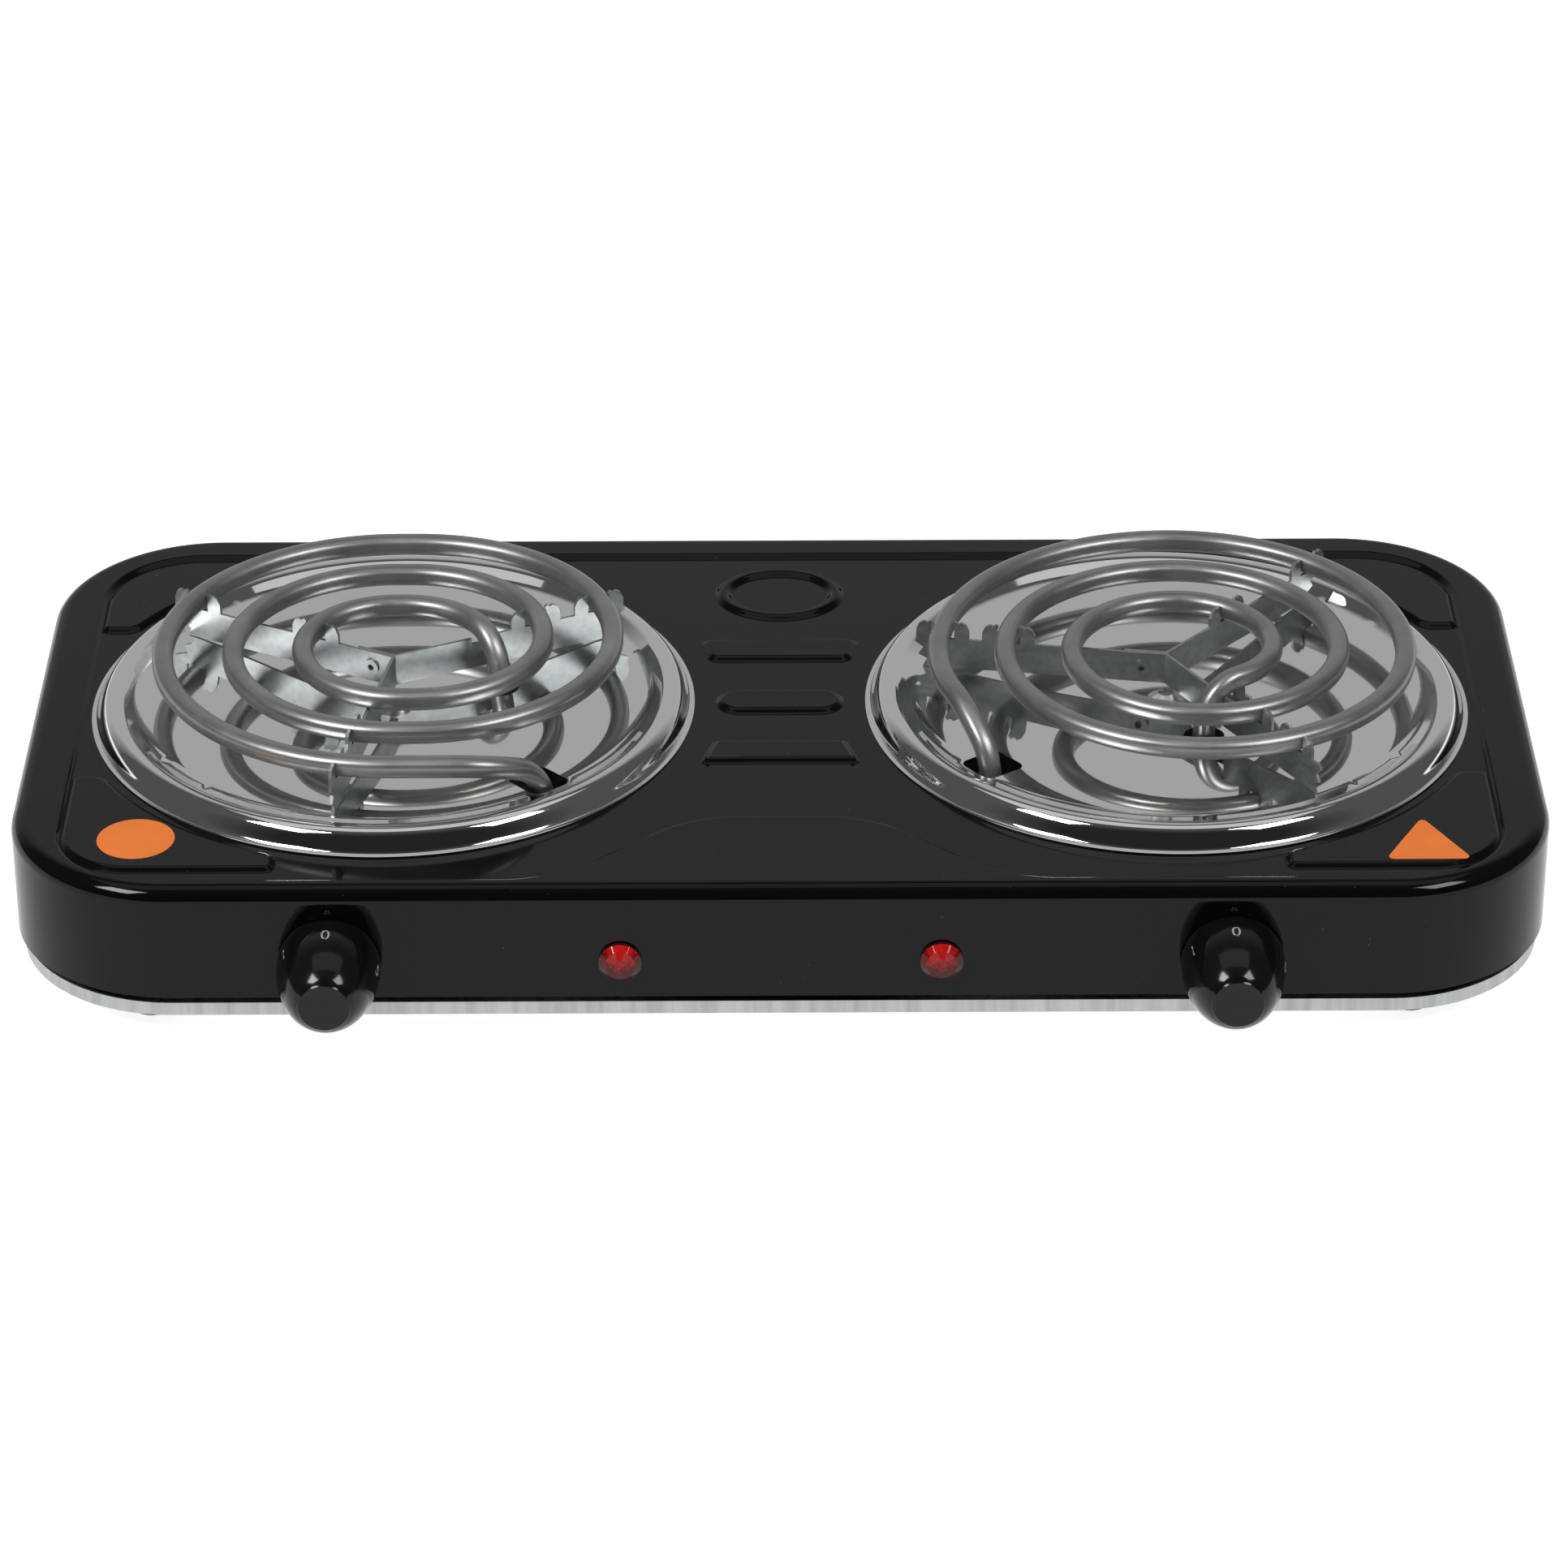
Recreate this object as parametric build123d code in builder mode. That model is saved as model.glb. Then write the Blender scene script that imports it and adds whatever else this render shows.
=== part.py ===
from build123d import *
import os
from math import atan2, cos, degrees, radians, sin, sqrt

# Two-burner electric hot plate with tubular spiral elements over chromed drip pans, in a pressed and
# enamelled steel housing on four rubber feet. Millimetres, +Z up, +X to the user's right, +Y away from
# the user. The origin is under the middle of the overall box, on the surface that the feet stand on.

# --- Housing ---
PAN_RADIUS = 92.5  # of the drip pans, which the whole plan follows
PAN_GAP = 52.4  # between the two drip pans
PAN_SIDE_MARGIN = 18.1  # from a drip pan to the side of the skirt
PAN_END_MARGIN = 18.8  # from a drip pan to the front and to the rear, on average
PAN_SPACING = 2 * PAN_RADIUS + PAN_GAP
BODY_WIDTH = PAN_SPACING + 2 * (PAN_RADIUS + PAN_SIDE_MARGIN)  # across the skirt
BODY_DEPTH = 2 * (PAN_RADIUS + PAN_END_MARGIN)  # front panel to rear wall
CORNER_RADIUS = 50.0  # of the skirt, in plan
EDGE_RADIUS = 5.0  # rolled edge between the top and the skirt
SHEET = 0.8  # enamelled steel
SKIRT_HEIGHT = 36.5  # lower edge to rim
RECESS_DEPTH = 1.5  # of the floor that the pans stand on, below the rim
RIM_SIDE = 14.8  # flat rim left standing round the recess
RIM_FRONT = 6.5
RIM_REAR = 13.0
RECESS_RADIUS = 30.0
PLATEAU_REACH = 35.8  # how far the rim juts back into the recess at the middle of the front
PLATEAU_REAR_WIDTH = 52.0
PLATEAU_FRONT_WIDTH = 132.0
PLATEAU_REAR_ROUND = 8.0
PLATEAU_FRONT_ROUND = 10.0

# --- Corner pads and centre embosses, all pressed up to the rim's level ---
PAD_SIDE_MARGIN = 2.5  # from the recess wall to the pad
PAD_FRONT_MARGIN = 7.8
PAD_REAR_MARGIN = 9.3
FRONT_PAD = (62.0, 53.0)
REAR_PAD = (40.0, 39.0)
FRONT_PAD_ROUND = 22.0
REAR_PAD_ROUND = 25.0
PAD_CORNER_ROUND = 3.0
PAD_PAN_MARGIN = 4.5  # from the drip pan's lip to the pad
RING_INSET = 38.8  # from the rear wall to the middle of the ring
RING_OUTER = (20.2, 17.2)
RING_INNER = (15.2, 12.2)
REAR_BAR = (46.0, 41.0, 10.6, 35.2)  # rear width, front width, depth, place behind the middle
MIDDLE_BAR = (36.0, 11.6, 2.5)
FRONT_BAR = (37.0, 45.0, 10.2, -28.6)
BAR_ROUND = 3.0

# --- Tray under the housing ---
FOOT_HEIGHT = 8.0
TRAY_SHEET = 0.8
TRAY_EDGE = 4.2  # height of the upturned edge
TRAY_INSET = 1.7  # from the skirt's face to the tray's face
SKIRT_GAP = 2.8  # air between the tray's edge and the skirt
FOOT_RADIUS = 7.0
FOOT_TOP_RADIUS = 6.0
FOOT_STEM_RADIUS = 2.6
FOOT_BARB_RADIUS = 3.9
FOOT_BARB_HEIGHT = 2.6
FOOT_SIDE_INSET = 42.3  # from the skirt's side to a foot's axis
FOOT_END_INSET = 21.3  # from the front or rear wall to a foot's axis
VENT_RADIUS = 2.5
VENT_INSET = 13.0  # from the skirt's face to the row of vents that follows each corner
VENT_COUNT = 3
VENT_STEP = 14.0  # degrees round the corner

# --- Brackets that hold the tray to the housing ---
BRACKET_SHEET = 1.0
BRACKET_WIDTH = 14.0
BRACKET_FOOT = 14.0
BRACKET_RISE = 20.0  # height up the inside of the skirt
BRACKET_PLAY = 0.2  # from the tray's edge
BRACKET_STEP = 1.5  # height of the slant between the foot's wall and the skirt
BRACKET_CORNER_GAP = 4.3  # from the start of the skirt's round corner
SCREW_RADIUS = 1.9
SCREW_HEAD_RADIUS = 3.6
SCREW_HEAD_HEIGHT = 2.0
HEAD_TAPER = 20.0  # degrees, of small screw heads and of the feet's barbs
SCREW_LENGTH = 7.0

# --- Drip pans ---
PAN_SETBACK = 2.0  # behind the middle of the housing
PAN_SHEET = 0.5
LIP_WIDTH = 1.7
CROWN_RADIUS = PAN_RADIUS - 7.5
CROWN_HEIGHT = 6.3  # above the lip's top
LEDGE_RADIUS = PAN_RADIUS - 12.5  # outer edge of the dish, where a small step goes up to the crown
LEDGE_HEIGHT = 4.2
DISH_DEPTH = 4.5
DISH_SHARPNESS = 1.6
PAN_SEAT_RADIUS = 7.0  # flat under the centre screw
INNER_HOLE_RADIUS = 6.2
OUTER_HOLE = (15.0, 13.5)  # along and across the radius
OUTER_HOLE_MARGIN = 1.0  # from the step to the hole
COLLAR_PLAY = 2.4  # between the housing's turned-up collar and the foot of the pan's wall
COLLAR_HEIGHT = 3.5

# --- Spiral elements ---
TUBE_RADIUS = 3.25
TUBE_SIDES = 10
COIL_RISE = 20.75  # top of the tube above the pan lip's top
QUARTERS = 10  # quarter turns in one horizontal coil
DOWN_BEND_RADIUS = 12.0  # of the inner end
LEG_END = 28.0  # height of the lower end of both legs
END_PIN_RADIUS = 1.2
END_PIN_LENGTH = 7.0
BEAD_RADIUS = 2.9
BEAD_LENGTH = 4.0

# --- Element supports: bent strips that stand on edge on the pan ---
STRIP_SHEET = 1.0
STRIP_HEIGHT = 10.0
STRIP_SEAT_RADIUS = LEDGE_RADIUS - 2.0  # where the strips' ends stand on the dish
HUB_SETBACK = 4.0  # the hub lies behind the centre screw
HUB_GAP = 0.05  # between the two strips, and from a strip to the tube
TAB_HEIGHT = 6.0
TAB_WIDTH = 4.6
TAB_MARGIN = 0.5  # from the outermost tab to the strip's end
TAB_LEAN = 0.5  # hook of the tab's tip over the tube
TAB_CLEARANCE = 0.35
RELIEF_CLEARANCE = 1.5  # under an inner end that dips across an arm
FLANGE_LENGTH = 13.0
RIVET_PLACE = 7.5  # from the hub along the left arm
RIVET_RADIUS = 1.5
RIVET_HEAD_RADIUS = 2.5
RIVET_HEAD_HEIGHT = 0.7
RIVET_BORE = 1.0

# --- Clamping of the pans: a screw through each pan into a channel under the housing's hole ---
CLAMP_RADIUS = 2.0
CLAMP_HEAD_RADIUS = 5.75
CLAMP_HEAD_HEIGHT = 3.4
CLAMP_LENGTH = 11.0
CROSS_WIDTH = 1.3
CROSS_SPAN = 5.0
CROSS_DEPTH = 1.5
NUT_ACROSS = 7.0
NUT_HEIGHT = 3.2
BRIDGE_LAP = 7.9  # of the channel under the housing, at each end
BRIDGE_WIDTH = 15.0
BRIDGE_FLANGE = 6.0
BRIDGE_SHEET = 1.2
BRIDGE_ANGLE = 72.0
FIT = 0.05  # radial clearance of a running or threaded fit

# --- Controls on the front panel ---
CONTROL_RISE = 12.1  # knob and lamp axes above the skirt's lower edge
KNOB_INSET = 97.1  # from the skirt's side to a knob's axis
KNOB_RADIUS = 15.3
KNOB_LENGTH = 24.4
KNOB_GAP = 1.0  # from the panel to the knob
KNOB_FACE_RADIUS = 7.45
KNOB_WALL = 1.6
KNOB_CAVITY = 5.0
KNOB_GRIP_LENGTH = 14.0  # how far the shaft goes into the knob
SHAFT_RADIUS = 3.0
SHAFT_FLAT = 1.5  # height of the D's flat from the axis to the cut
BUSH_HOLE_RADIUS = 4.6
THERMOSTAT_SCREW_SPACING = 18.0
THERMOSTAT_SCREW_RADIUS = 1.5
THERMOSTAT_SCREW_HEAD = 2.7
THERMOSTAT_SCREW_RISE = 1.4
THERMOSTAT_SCREW_TAPER = 25.0
THERMOSTAT_BODY = (26.0, 24.0, 20.0)
THERMOSTAT_BUSH_RADIUS = 4.4
THERMOSTAT_PLATE = (30.0, 20.0, 1.2)
THERMOSTAT_LEAF = (7.0, 30.0, 0.6)
LEAF_ROUND = 2.0
SHAFT_DEPTH = 12.0  # into the thermostat's body
INDEX_RADIUS = 1.0
INDEX_GAP = 0.4  # above the knob's edge
INDEX_RISE = 0.5
LAMP_SPACING = 94.2
LENS_RADIUS = 6.3
LENS_BARREL_RADIUS = 4.9
LENS_FLANGE = 1.2
LENS_DOME = 2.4
LENS_WALL = 0.9
LENS_BARREL = 9.0
LAMP_LENGTH = 20.0
LAMP_SETBACK = 1.5  # of the bulb behind the panel's face
LAMP_PLAY = 0.3
LAMP_TAPER = 8.0

# --- Mains connection ---
BUSH_REACH = 3.4  # of the cord bush, beyond the rear wall
BUSH_FLANGE_RADIUS = 7.5
BUSH_BODY_RADIUS = 5.6
BUSH_BORE_RADIUS = 3.75
BUSH_LENGTH = 12.0
BUSH_RISE = 14.0  # above the skirt's lower edge
BLOCK = (36.0, 18.0, 14.0)
BLOCK_INSET = 33.3  # from the rear wall to the middle of the block
BLOCK_POLES = 3
BLOCK_POLE_PITCH = 11.0
BLOCK_BORE_RADIUS = 2.0
BLOCK_SCREW_RADIUS = 1.6
BLOCK_SCREW_SINK = 1.0  # of the screws below the block's top
BLOCK_BEVEL = 3.0
EARTH_PLACE = (40.0, 29.3)  # from the middle, and from the rear wall
EARTH_SCREW_RADIUS = 1.9
EARTH_NUT_ACROSS = 7.0
EARTH_NUT_HEIGHT = 3.0
EARTH_LENGTH = 10.0

# --- Places worked out from the sizes above ---
control_reach = KNOB_GAP + KNOB_LENGTH
body_y = (control_reach - BUSH_REACH) / 2
front_y = body_y - BODY_DEPTH / 2
rear_y = body_y + BODY_DEPTH / 2
tray_floor = FOOT_HEIGHT + TRAY_SHEET
tray_top = FOOT_HEIGHT + TRAY_EDGE
skirt_bottom = tray_top + SKIRT_GAP
rim_top = skirt_bottom + SKIRT_HEIGHT
floor_top = rim_top - RECESS_DEPTH
floor_under = floor_top - SHEET
lip_top = floor_top + PAN_SHEET
pan_y = body_y + PAN_SETBACK
control_z = skirt_bottom + CONTROL_RISE
knob_x = BODY_WIDTH / 2 - KNOB_INSET
coil_z = lip_top + COIL_RISE - TUBE_RADIUS
strip_top = coil_z - TUBE_RADIUS - HUB_GAP
strip_bottom = strip_top - STRIP_HEIGHT
collar_radius = PAN_RADIUS - LIP_WIDTH - PAN_SHEET - COLLAR_PLAY
hole_radius = collar_radius - SHEET
bridge_length = 2 * (hole_radius + BRIDGE_LAP)
bracket_y = BODY_DEPTH / 2 - CORNER_RADIUS - BRACKET_CORNER_GAP - BRACKET_WIDTH / 2
inner_front_y = front_y + SHEET
inner_side_x = BODY_WIDTH / 2 - SHEET

SIDES = {"left": -1, "right": 1}
UP = Vector(0, 0, 1)
FORWARD, BACK, LEFT, RIGHT = Vector(0, -1), Vector(0, 1), Vector(-1, 0), Vector(1, 0)

os.makedirs("parts", exist_ok=True)


def save(piece, name):
    """Labels a finished piece and writes it as one STEP file."""
    piece.part.label = name
    export_step(piece.part, f"parts/{name}.step")


# --- Housing ---


def recess_outline(grow):
    """The recess at rim level, less the plateau that juts into it, grown all round."""
    width = BODY_WIDTH - 2 * RIM_SIDE
    depth = BODY_DEPTH - RIM_FRONT - RIM_REAR
    front = front_y + RIM_FRONT
    rear = front + PLATEAU_REACH
    narrow, wide = PLATEAU_REAR_WIDTH / 2, PLATEAU_FRONT_WIDTH / 2
    with BuildSketch() as outline:
        with Locations((0, front + depth / 2)):
            RectangleRounded(width, depth, RECESS_RADIUS)
        with BuildSketch(mode=Mode.SUBTRACT):
            Polygon(
                (-wide, front), (-narrow, rear), (narrow, rear), (wide, front), (wide, front - 1), (-wide, front - 1),
                align=None,
            )
        corners = outline.vertices()
        rear_corners = corners.filter_by_position(Axis.Y, rear - 0.1, rear + 0.1)
        fillet(rear_corners, PLATEAU_REAR_ROUND)
        front_corners = [v for v in outline.vertices() if abs(v.Y - front) < 0.1 and abs(abs(v.X) - wide) < 0.1]
        fillet(front_corners, PLATEAU_FRONT_ROUND)
        if grow:
            offset(amount=grow)
    return outline.sketch


def pad_outline(side, size, outer_round, at_rear):
    """A corner pad's foot: a rectangle with a round outer corner, cut back round the drip pan."""
    width, depth = (length + 2 * RECESS_DEPTH for length in size)
    outer_x = BODY_WIDTH / 2 - RIM_SIDE - PAD_SIDE_MARGIN + RECESS_DEPTH
    front_edge = front_y + RIM_FRONT + PAD_FRONT_MARGIN - RECESS_DEPTH
    rear_edge = rear_y - RIM_REAR - PAD_REAR_MARGIN + RECESS_DEPTH
    outer_y, middle_y = (rear_edge, rear_edge - depth / 2) if at_rear else (front_edge, front_edge + depth / 2)
    with BuildSketch() as pad:
        with Locations((side * (outer_x - width / 2), middle_y)):
            Rectangle(width, depth)
        with Locations((side * PAN_SPACING / 2, pan_y)):
            Circle(PAN_RADIUS + PAD_PAN_MARGIN - RECESS_DEPTH, mode=Mode.SUBTRACT)
        corners = pad.vertices().sort_by_distance((side * outer_x, outer_y, 0))
        fillet(corners[1:], PAD_CORNER_ROUND)
        fillet(pad.vertices().sort_by_distance((side * outer_x, outer_y, 0))[0], outer_round)
    return pad.sketch


def bar_outline(rear_width, front_width, depth, setback, rounded):
    """One of the bars between the pans: a trapezium with the chosen corners rounded."""
    rear, front = body_y + setback + depth / 2, body_y + setback - depth / 2
    foot = RECESS_DEPTH
    with BuildSketch() as bar:
        Polygon(
            (-front_width / 2 - foot, front - foot), (front_width / 2 + foot, front - foot),
            (rear_width / 2 + foot, rear + foot), (-rear_width / 2 - foot, rear + foot),
            align=None,
        )
        if rounded:
            fillet(bar.vertices(), BAR_ROUND)
    return bar.sketch


def emboss(outline, floor, height):
    """Raises an outline out of a floor, with walls at 45 degrees."""
    with BuildSketch(Plane.XY.offset(floor)) as foot:
        add(outline)
    with BuildSketch(Plane.XY.offset(floor + height)) as top:
        add(outline)
        offset(amount=-height, mode=Mode.REPLACE)
    loft(sections=[foot.sketch.face(), top.sketch.face()], ruled=True)


def raised_ellipse(axes, grow, floor, narrowing, mode):
    """One wall of the elliptical ring: a frustum that narrows, or widens where narrowing is negative."""
    rise = abs(narrowing)
    with BuildSketch(Plane(origin=(0, rear_y - RING_INSET, floor))) as foot:
        Ellipse(*(axis + grow for axis in axes))
    with BuildSketch(Plane(origin=(0, rear_y - RING_INSET, floor + rise))) as top:
        Ellipse(*(axis + grow - narrowing for axis in axes))
    loft(sections=[foot.sketch.face(), top.sketch.face()], ruled=True, mode=mode)


def embosses():
    """Outlines of every raised pad and bar at floor level."""
    for side in SIDES.values():
        yield pad_outline(side, FRONT_PAD, FRONT_PAD_ROUND, at_rear=False)
        yield pad_outline(side, REAR_PAD, REAR_PAD_ROUND, at_rear=True)
    yield bar_outline(*REAR_BAR, rounded=True)
    yield bar_outline(*FRONT_BAR, rounded=False)
    width, depth, setback = MIDDLE_BAR
    foot = RECESS_DEPTH
    with BuildSketch() as bar:
        with Locations((0, body_y + setback)):
            SlotOverall(width + 2 * foot, depth + 2 * foot)
    yield bar.sketch


def pressed_form(inset):
    """The solid inside the housing's outer skin, or inside a skin that lies inset under it."""
    turn = (sqrt(2) - 1) * inset  # how far a 45 degree wall moves sideways under the sheet
    with BuildPart() as form:
        with BuildSketch(Plane.XY.offset(skirt_bottom)):
            with Locations((0, body_y)):
                RectangleRounded(BODY_WIDTH - 2 * inset, BODY_DEPTH - 2 * inset, CORNER_RADIUS - inset)
        extrude(amount=SKIRT_HEIGHT - inset)
        fillet(form.faces().sort_by(Axis.Z)[-1].edges(), EDGE_RADIUS - inset)
        with BuildSketch(Plane.XY.offset(rim_top - inset)):
            add(recess_outline(turn))
        extrude(amount=-RECESS_DEPTH, taper=45, mode=Mode.SUBTRACT)
        for outline in embosses():
            with BuildSketch() as under:
                add(outline)
                if turn:
                    offset(amount=-turn)
            emboss(under.sketch, floor_top - inset, RECESS_DEPTH)
        raised_ellipse(RING_OUTER, -turn, floor_top - inset, RECESS_DEPTH, Mode.ADD)
        raised_ellipse(RING_INNER, turn, floor_top - inset, -RECESS_DEPTH, Mode.SUBTRACT)
    return form.part


with BuildPart() as housing:
    add(pressed_form(0))
    add(pressed_form(SHEET), mode=Mode.SUBTRACT)
    with BuildSketch(Plane.XY.offset(floor_top)):
        for side in SIDES.values():
            with Locations((side * PAN_SPACING / 2, pan_y)):
                Circle(collar_radius)
    extrude(amount=COLLAR_HEIGHT)
    with BuildSketch(Plane.XY.offset(floor_under)):
        for side in SIDES.values():
            with Locations((side * PAN_SPACING / 2, pan_y)):
                Circle(hole_radius)
    extrude(amount=SHEET + COLLAR_HEIGHT, mode=Mode.SUBTRACT)
    with BuildSketch(Plane.XZ.offset(-front_y)):
        for side in SIDES.values():
            with Locations((side * knob_x, control_z)):
                Circle(BUSH_HOLE_RADIUS)
                with GridLocations(THERMOSTAT_SCREW_SPACING, 0, 2, 1):
                    Circle(THERMOSTAT_SCREW_RADIUS + FIT)
            with Locations((side * LAMP_SPACING / 2, control_z)):
                Circle(LENS_BARREL_RADIUS + FIT)
    extrude(amount=-SHEET, mode=Mode.SUBTRACT)
    with BuildSketch(Plane.XZ.offset(-front_y)):
        for side in SIDES.values():
            with Locations((side * knob_x, control_z + KNOB_RADIUS + INDEX_GAP + INDEX_RADIUS)):
                Circle(INDEX_RADIUS)
    extrude(amount=INDEX_RISE)
    with BuildSketch(Plane.XZ.offset(-rear_y)):
        with Locations((0, skirt_bottom + BUSH_RISE)):
            Circle(BUSH_BODY_RADIUS + FIT)
    extrude(amount=SHEET, mode=Mode.SUBTRACT)
save(housing, "housing")

# --- Tray, feet, and the brackets and screws between tray and housing ---

FOOT_SPOTS = [
    (across * (BODY_WIDTH / 2 - FOOT_SIDE_INSET), body_y + along * (BODY_DEPTH / 2 - FOOT_END_INSET))
    for across in (-1, 1) for along in (-1, 1)
]
bracket_outer = BODY_WIDTH / 2 - TRAY_INSET - TRAY_SHEET - BRACKET_PLAY
bracket_hole_x = bracket_outer - BRACKET_FOOT / 2 - BRACKET_SHEET / 2
BRACKET_SPOTS = [(side, body_y + along * bracket_y) for side in (-1, 1) for along in (-1, 1)]

with BuildPart() as base_plate:
    width, depth = BODY_WIDTH - 2 * TRAY_INSET, BODY_DEPTH - 2 * TRAY_INSET
    with BuildSketch(Plane.XY.offset(FOOT_HEIGHT)):
        with Locations((0, body_y)):
            RectangleRounded(width, depth, CORNER_RADIUS - TRAY_INSET)
    extrude(amount=TRAY_EDGE)
    with BuildSketch(Plane.XY.offset(tray_floor)):
        with Locations((0, body_y)):
            RectangleRounded(width - 2 * TRAY_SHEET, depth - 2 * TRAY_SHEET, CORNER_RADIUS - TRAY_INSET - TRAY_SHEET)
    extrude(amount=TRAY_EDGE, mode=Mode.SUBTRACT)
    with BuildSketch(Plane.XY.offset(FOOT_HEIGHT)):
        with Locations(*FOOT_SPOTS):
            Circle(FOOT_STEM_RADIUS + FIT)
        with Locations(*[(side * bracket_hole_x, y) for side, y in BRACKET_SPOTS]):
            Circle(SCREW_RADIUS + FIT)
        for across in (-1, 1):
            for along in (-1, 1):
                corner_x = across * (BODY_WIDTH / 2 - CORNER_RADIUS)
                corner_y = body_y + along * (BODY_DEPTH / 2 - CORNER_RADIUS)
                middle = degrees(atan2(along, across))
                first = middle - VENT_STEP * (VENT_COUNT - 1) / 2
                with Locations((corner_x, corner_y)):
                    with PolarLocations(CORNER_RADIUS - VENT_INSET, VENT_COUNT, first, VENT_STEP * VENT_COUNT):
                        Circle(VENT_RADIUS)
        with Locations((EARTH_PLACE[0], rear_y - EARTH_PLACE[1])):
            Circle(EARTH_SCREW_RADIUS + FIT)
    extrude(amount=TRAY_SHEET, mode=Mode.SUBTRACT)
save(base_plate, "base_plate")

with BuildPart() as feet:
    for spot in FOOT_SPOTS:
        with BuildSketch(Plane.XY):
            with Locations(spot):
                Circle(FOOT_RADIUS)
        with BuildSketch(Plane.XY.offset(FOOT_HEIGHT)):
            with Locations(spot):
                Circle(FOOT_TOP_RADIUS)
        loft(ruled=True)
    with BuildSketch(Plane.XY.offset(FOOT_HEIGHT)):
        with Locations(*FOOT_SPOTS):
            Circle(FOOT_STEM_RADIUS)
    extrude(amount=TRAY_SHEET + FOOT_BARB_HEIGHT)
    with BuildSketch(Plane.XY.offset(tray_floor)):
        with Locations(*FOOT_SPOTS):
            Circle(FOOT_BARB_RADIUS)
    extrude(amount=FOOT_BARB_HEIGHT, taper=HEAD_TAPER)
save(feet, "feet")

with BuildPart() as housing_brackets:
    for side, y in BRACKET_SPOTS:
        with BuildSketch(Plane.XZ.offset(-y + BRACKET_WIDTH / 2)):
            with BuildLine():
                foot_x, wall_x = bracket_outer - BRACKET_FOOT, inner_side_x - BRACKET_SHEET
                lower_x, step_z = bracket_outer - BRACKET_SHEET, tray_top + BRACKET_SHEET
                top_z = skirt_bottom + BRACKET_RISE
                Polyline(
                    (side * foot_x, tray_floor), (side * bracket_outer, tray_floor), (side * bracket_outer, step_z),
                    (side * inner_side_x, step_z + BRACKET_STEP), (side * inner_side_x, top_z),
                    (side * wall_x, top_z), (side * wall_x, step_z + BRACKET_STEP + BRACKET_SHEET / 2),
                    (side * lower_x, step_z + BRACKET_SHEET / 2), (side * lower_x, tray_floor + BRACKET_SHEET),
                    (side * foot_x, tray_floor + BRACKET_SHEET), close=True,
                )
            make_face()
        extrude(amount=-BRACKET_WIDTH)
    with BuildSketch(Plane.XY.offset(tray_floor)):
        with Locations(*[(side * bracket_hole_x, y) for side, y in BRACKET_SPOTS]):
            Circle(SCREW_RADIUS + FIT)
    extrude(amount=BRACKET_SHEET, mode=Mode.SUBTRACT)
save(housing_brackets, "housing_brackets")

with BuildPart() as base_screws:
    with BuildSketch(Plane.XY.offset(FOOT_HEIGHT)):
        with Locations(*[(side * bracket_hole_x, y) for side, y in BRACKET_SPOTS]):
            Circle(SCREW_HEAD_RADIUS)
    extrude(amount=-SCREW_HEAD_HEIGHT, taper=HEAD_TAPER)
    with BuildSketch(Plane.XY.offset(FOOT_HEIGHT)):
        with Locations(*[(side * bracket_hole_x, y) for side, y in BRACKET_SPOTS]):
            Circle(SCREW_RADIUS)
    extrude(amount=SCREW_LENGTH)
save(base_screws, "base_screws")

# --- Paths of the spiral elements ---


def bend(start, heading, new_heading, radius):
    """An arc that leaves start along heading and ends along new_heading."""
    half_turn = radians(heading.get_angle(new_heading)) / 2
    chord = (heading + new_heading).normalized() * (2 * radius * sin(half_turn))
    return TangentArc(start, start + chord, tangent=heading)


def shift(heading, moves):
    """Where a chain of moves leads to, from the origin."""
    at = Vector()
    for move in moves:
        if isinstance(move, tuple):
            new_heading, radius = move
            half_turn = radians(heading.get_angle(new_heading)) / 2
            at += (heading + new_heading).normalized() * (2 * radius * sin(half_turn))
            heading = new_heading
        else:
            at += heading * move
    return at


def spiral(headings, first_radius, inner_radius, ovality, last_turn, last_radius):
    """Moves of a flat spiral: quarter bends of falling radius, with flats in an oval one, then the inner end."""
    shrink = (first_radius - inner_radius) / (QUARTERS - 1)
    moves = []
    for quarter in range(QUARTERS):
        radius = first_radius - quarter * shrink
        heading = headings[(quarter + 1) % 4]
        moves.append((heading, radius))
        if ovality and heading.X:
            moves.append(ovality * radius)
    inward = heading.rotate(Axis.Z, -last_turn)
    return moves + [(inward, last_radius), (-UP, DOWN_BEND_RADIUS)]


# Each element is given by the place of its outer leg from the pan's centre, its moves up to the spiral,
# and the spiral itself. They are bent by hand on the real product, so the two differ.
ELEMENTS = {
    "left": {
        "leg": (48.0, 36.1 - PAN_RADIUS),
        "rise": [(Vector(-0.68, -0.6, 0.42).normalized(), 17.0), (LEFT, 26.0), 18.4],
        "spiral": spiral([LEFT, BACK, RIGHT, FORWARD], PAN_RADIUS - 19.0, 27.42, 0.09, 56, 28.0),
        "arms": {"left": 153, "rear": 25, "front": -100},
        "clipped": {"left": (0, 2), "rear": (0, 1), "front": (0, 1)},
    },
    "right": {
        "leg": (37.0 - PAN_RADIUS, -46.4),
        "rise": [(Vector(-0.4, 0.64, 0.65).normalized(), 15.0), (Vector(-0.342, 0.94).normalized(), 27.0), (BACK, 70.0)],
        "spiral": spiral([BACK, RIGHT, FORWARD, LEFT], PAN_RADIUS - 18.3, 28.3, 0, 60, 23.2),
        "arms": {"left": 171, "rear": 48, "front": -59},
        "clipped": {"left": (0, 1), "rear": (0, 2), "front": (0, 1)},
    },
}


def draw_moves(start, heading, moves):
    """Draws runs and bends one after another and returns where they end."""
    at = start
    for move in moves:
        if isinstance(move, tuple):
            new_heading, radius = move
            at = bend(at, heading, new_heading, radius) @ 1
            heading = new_heading
        else:
            at = Line(at, at + heading * move) @ 1
    return at


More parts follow.
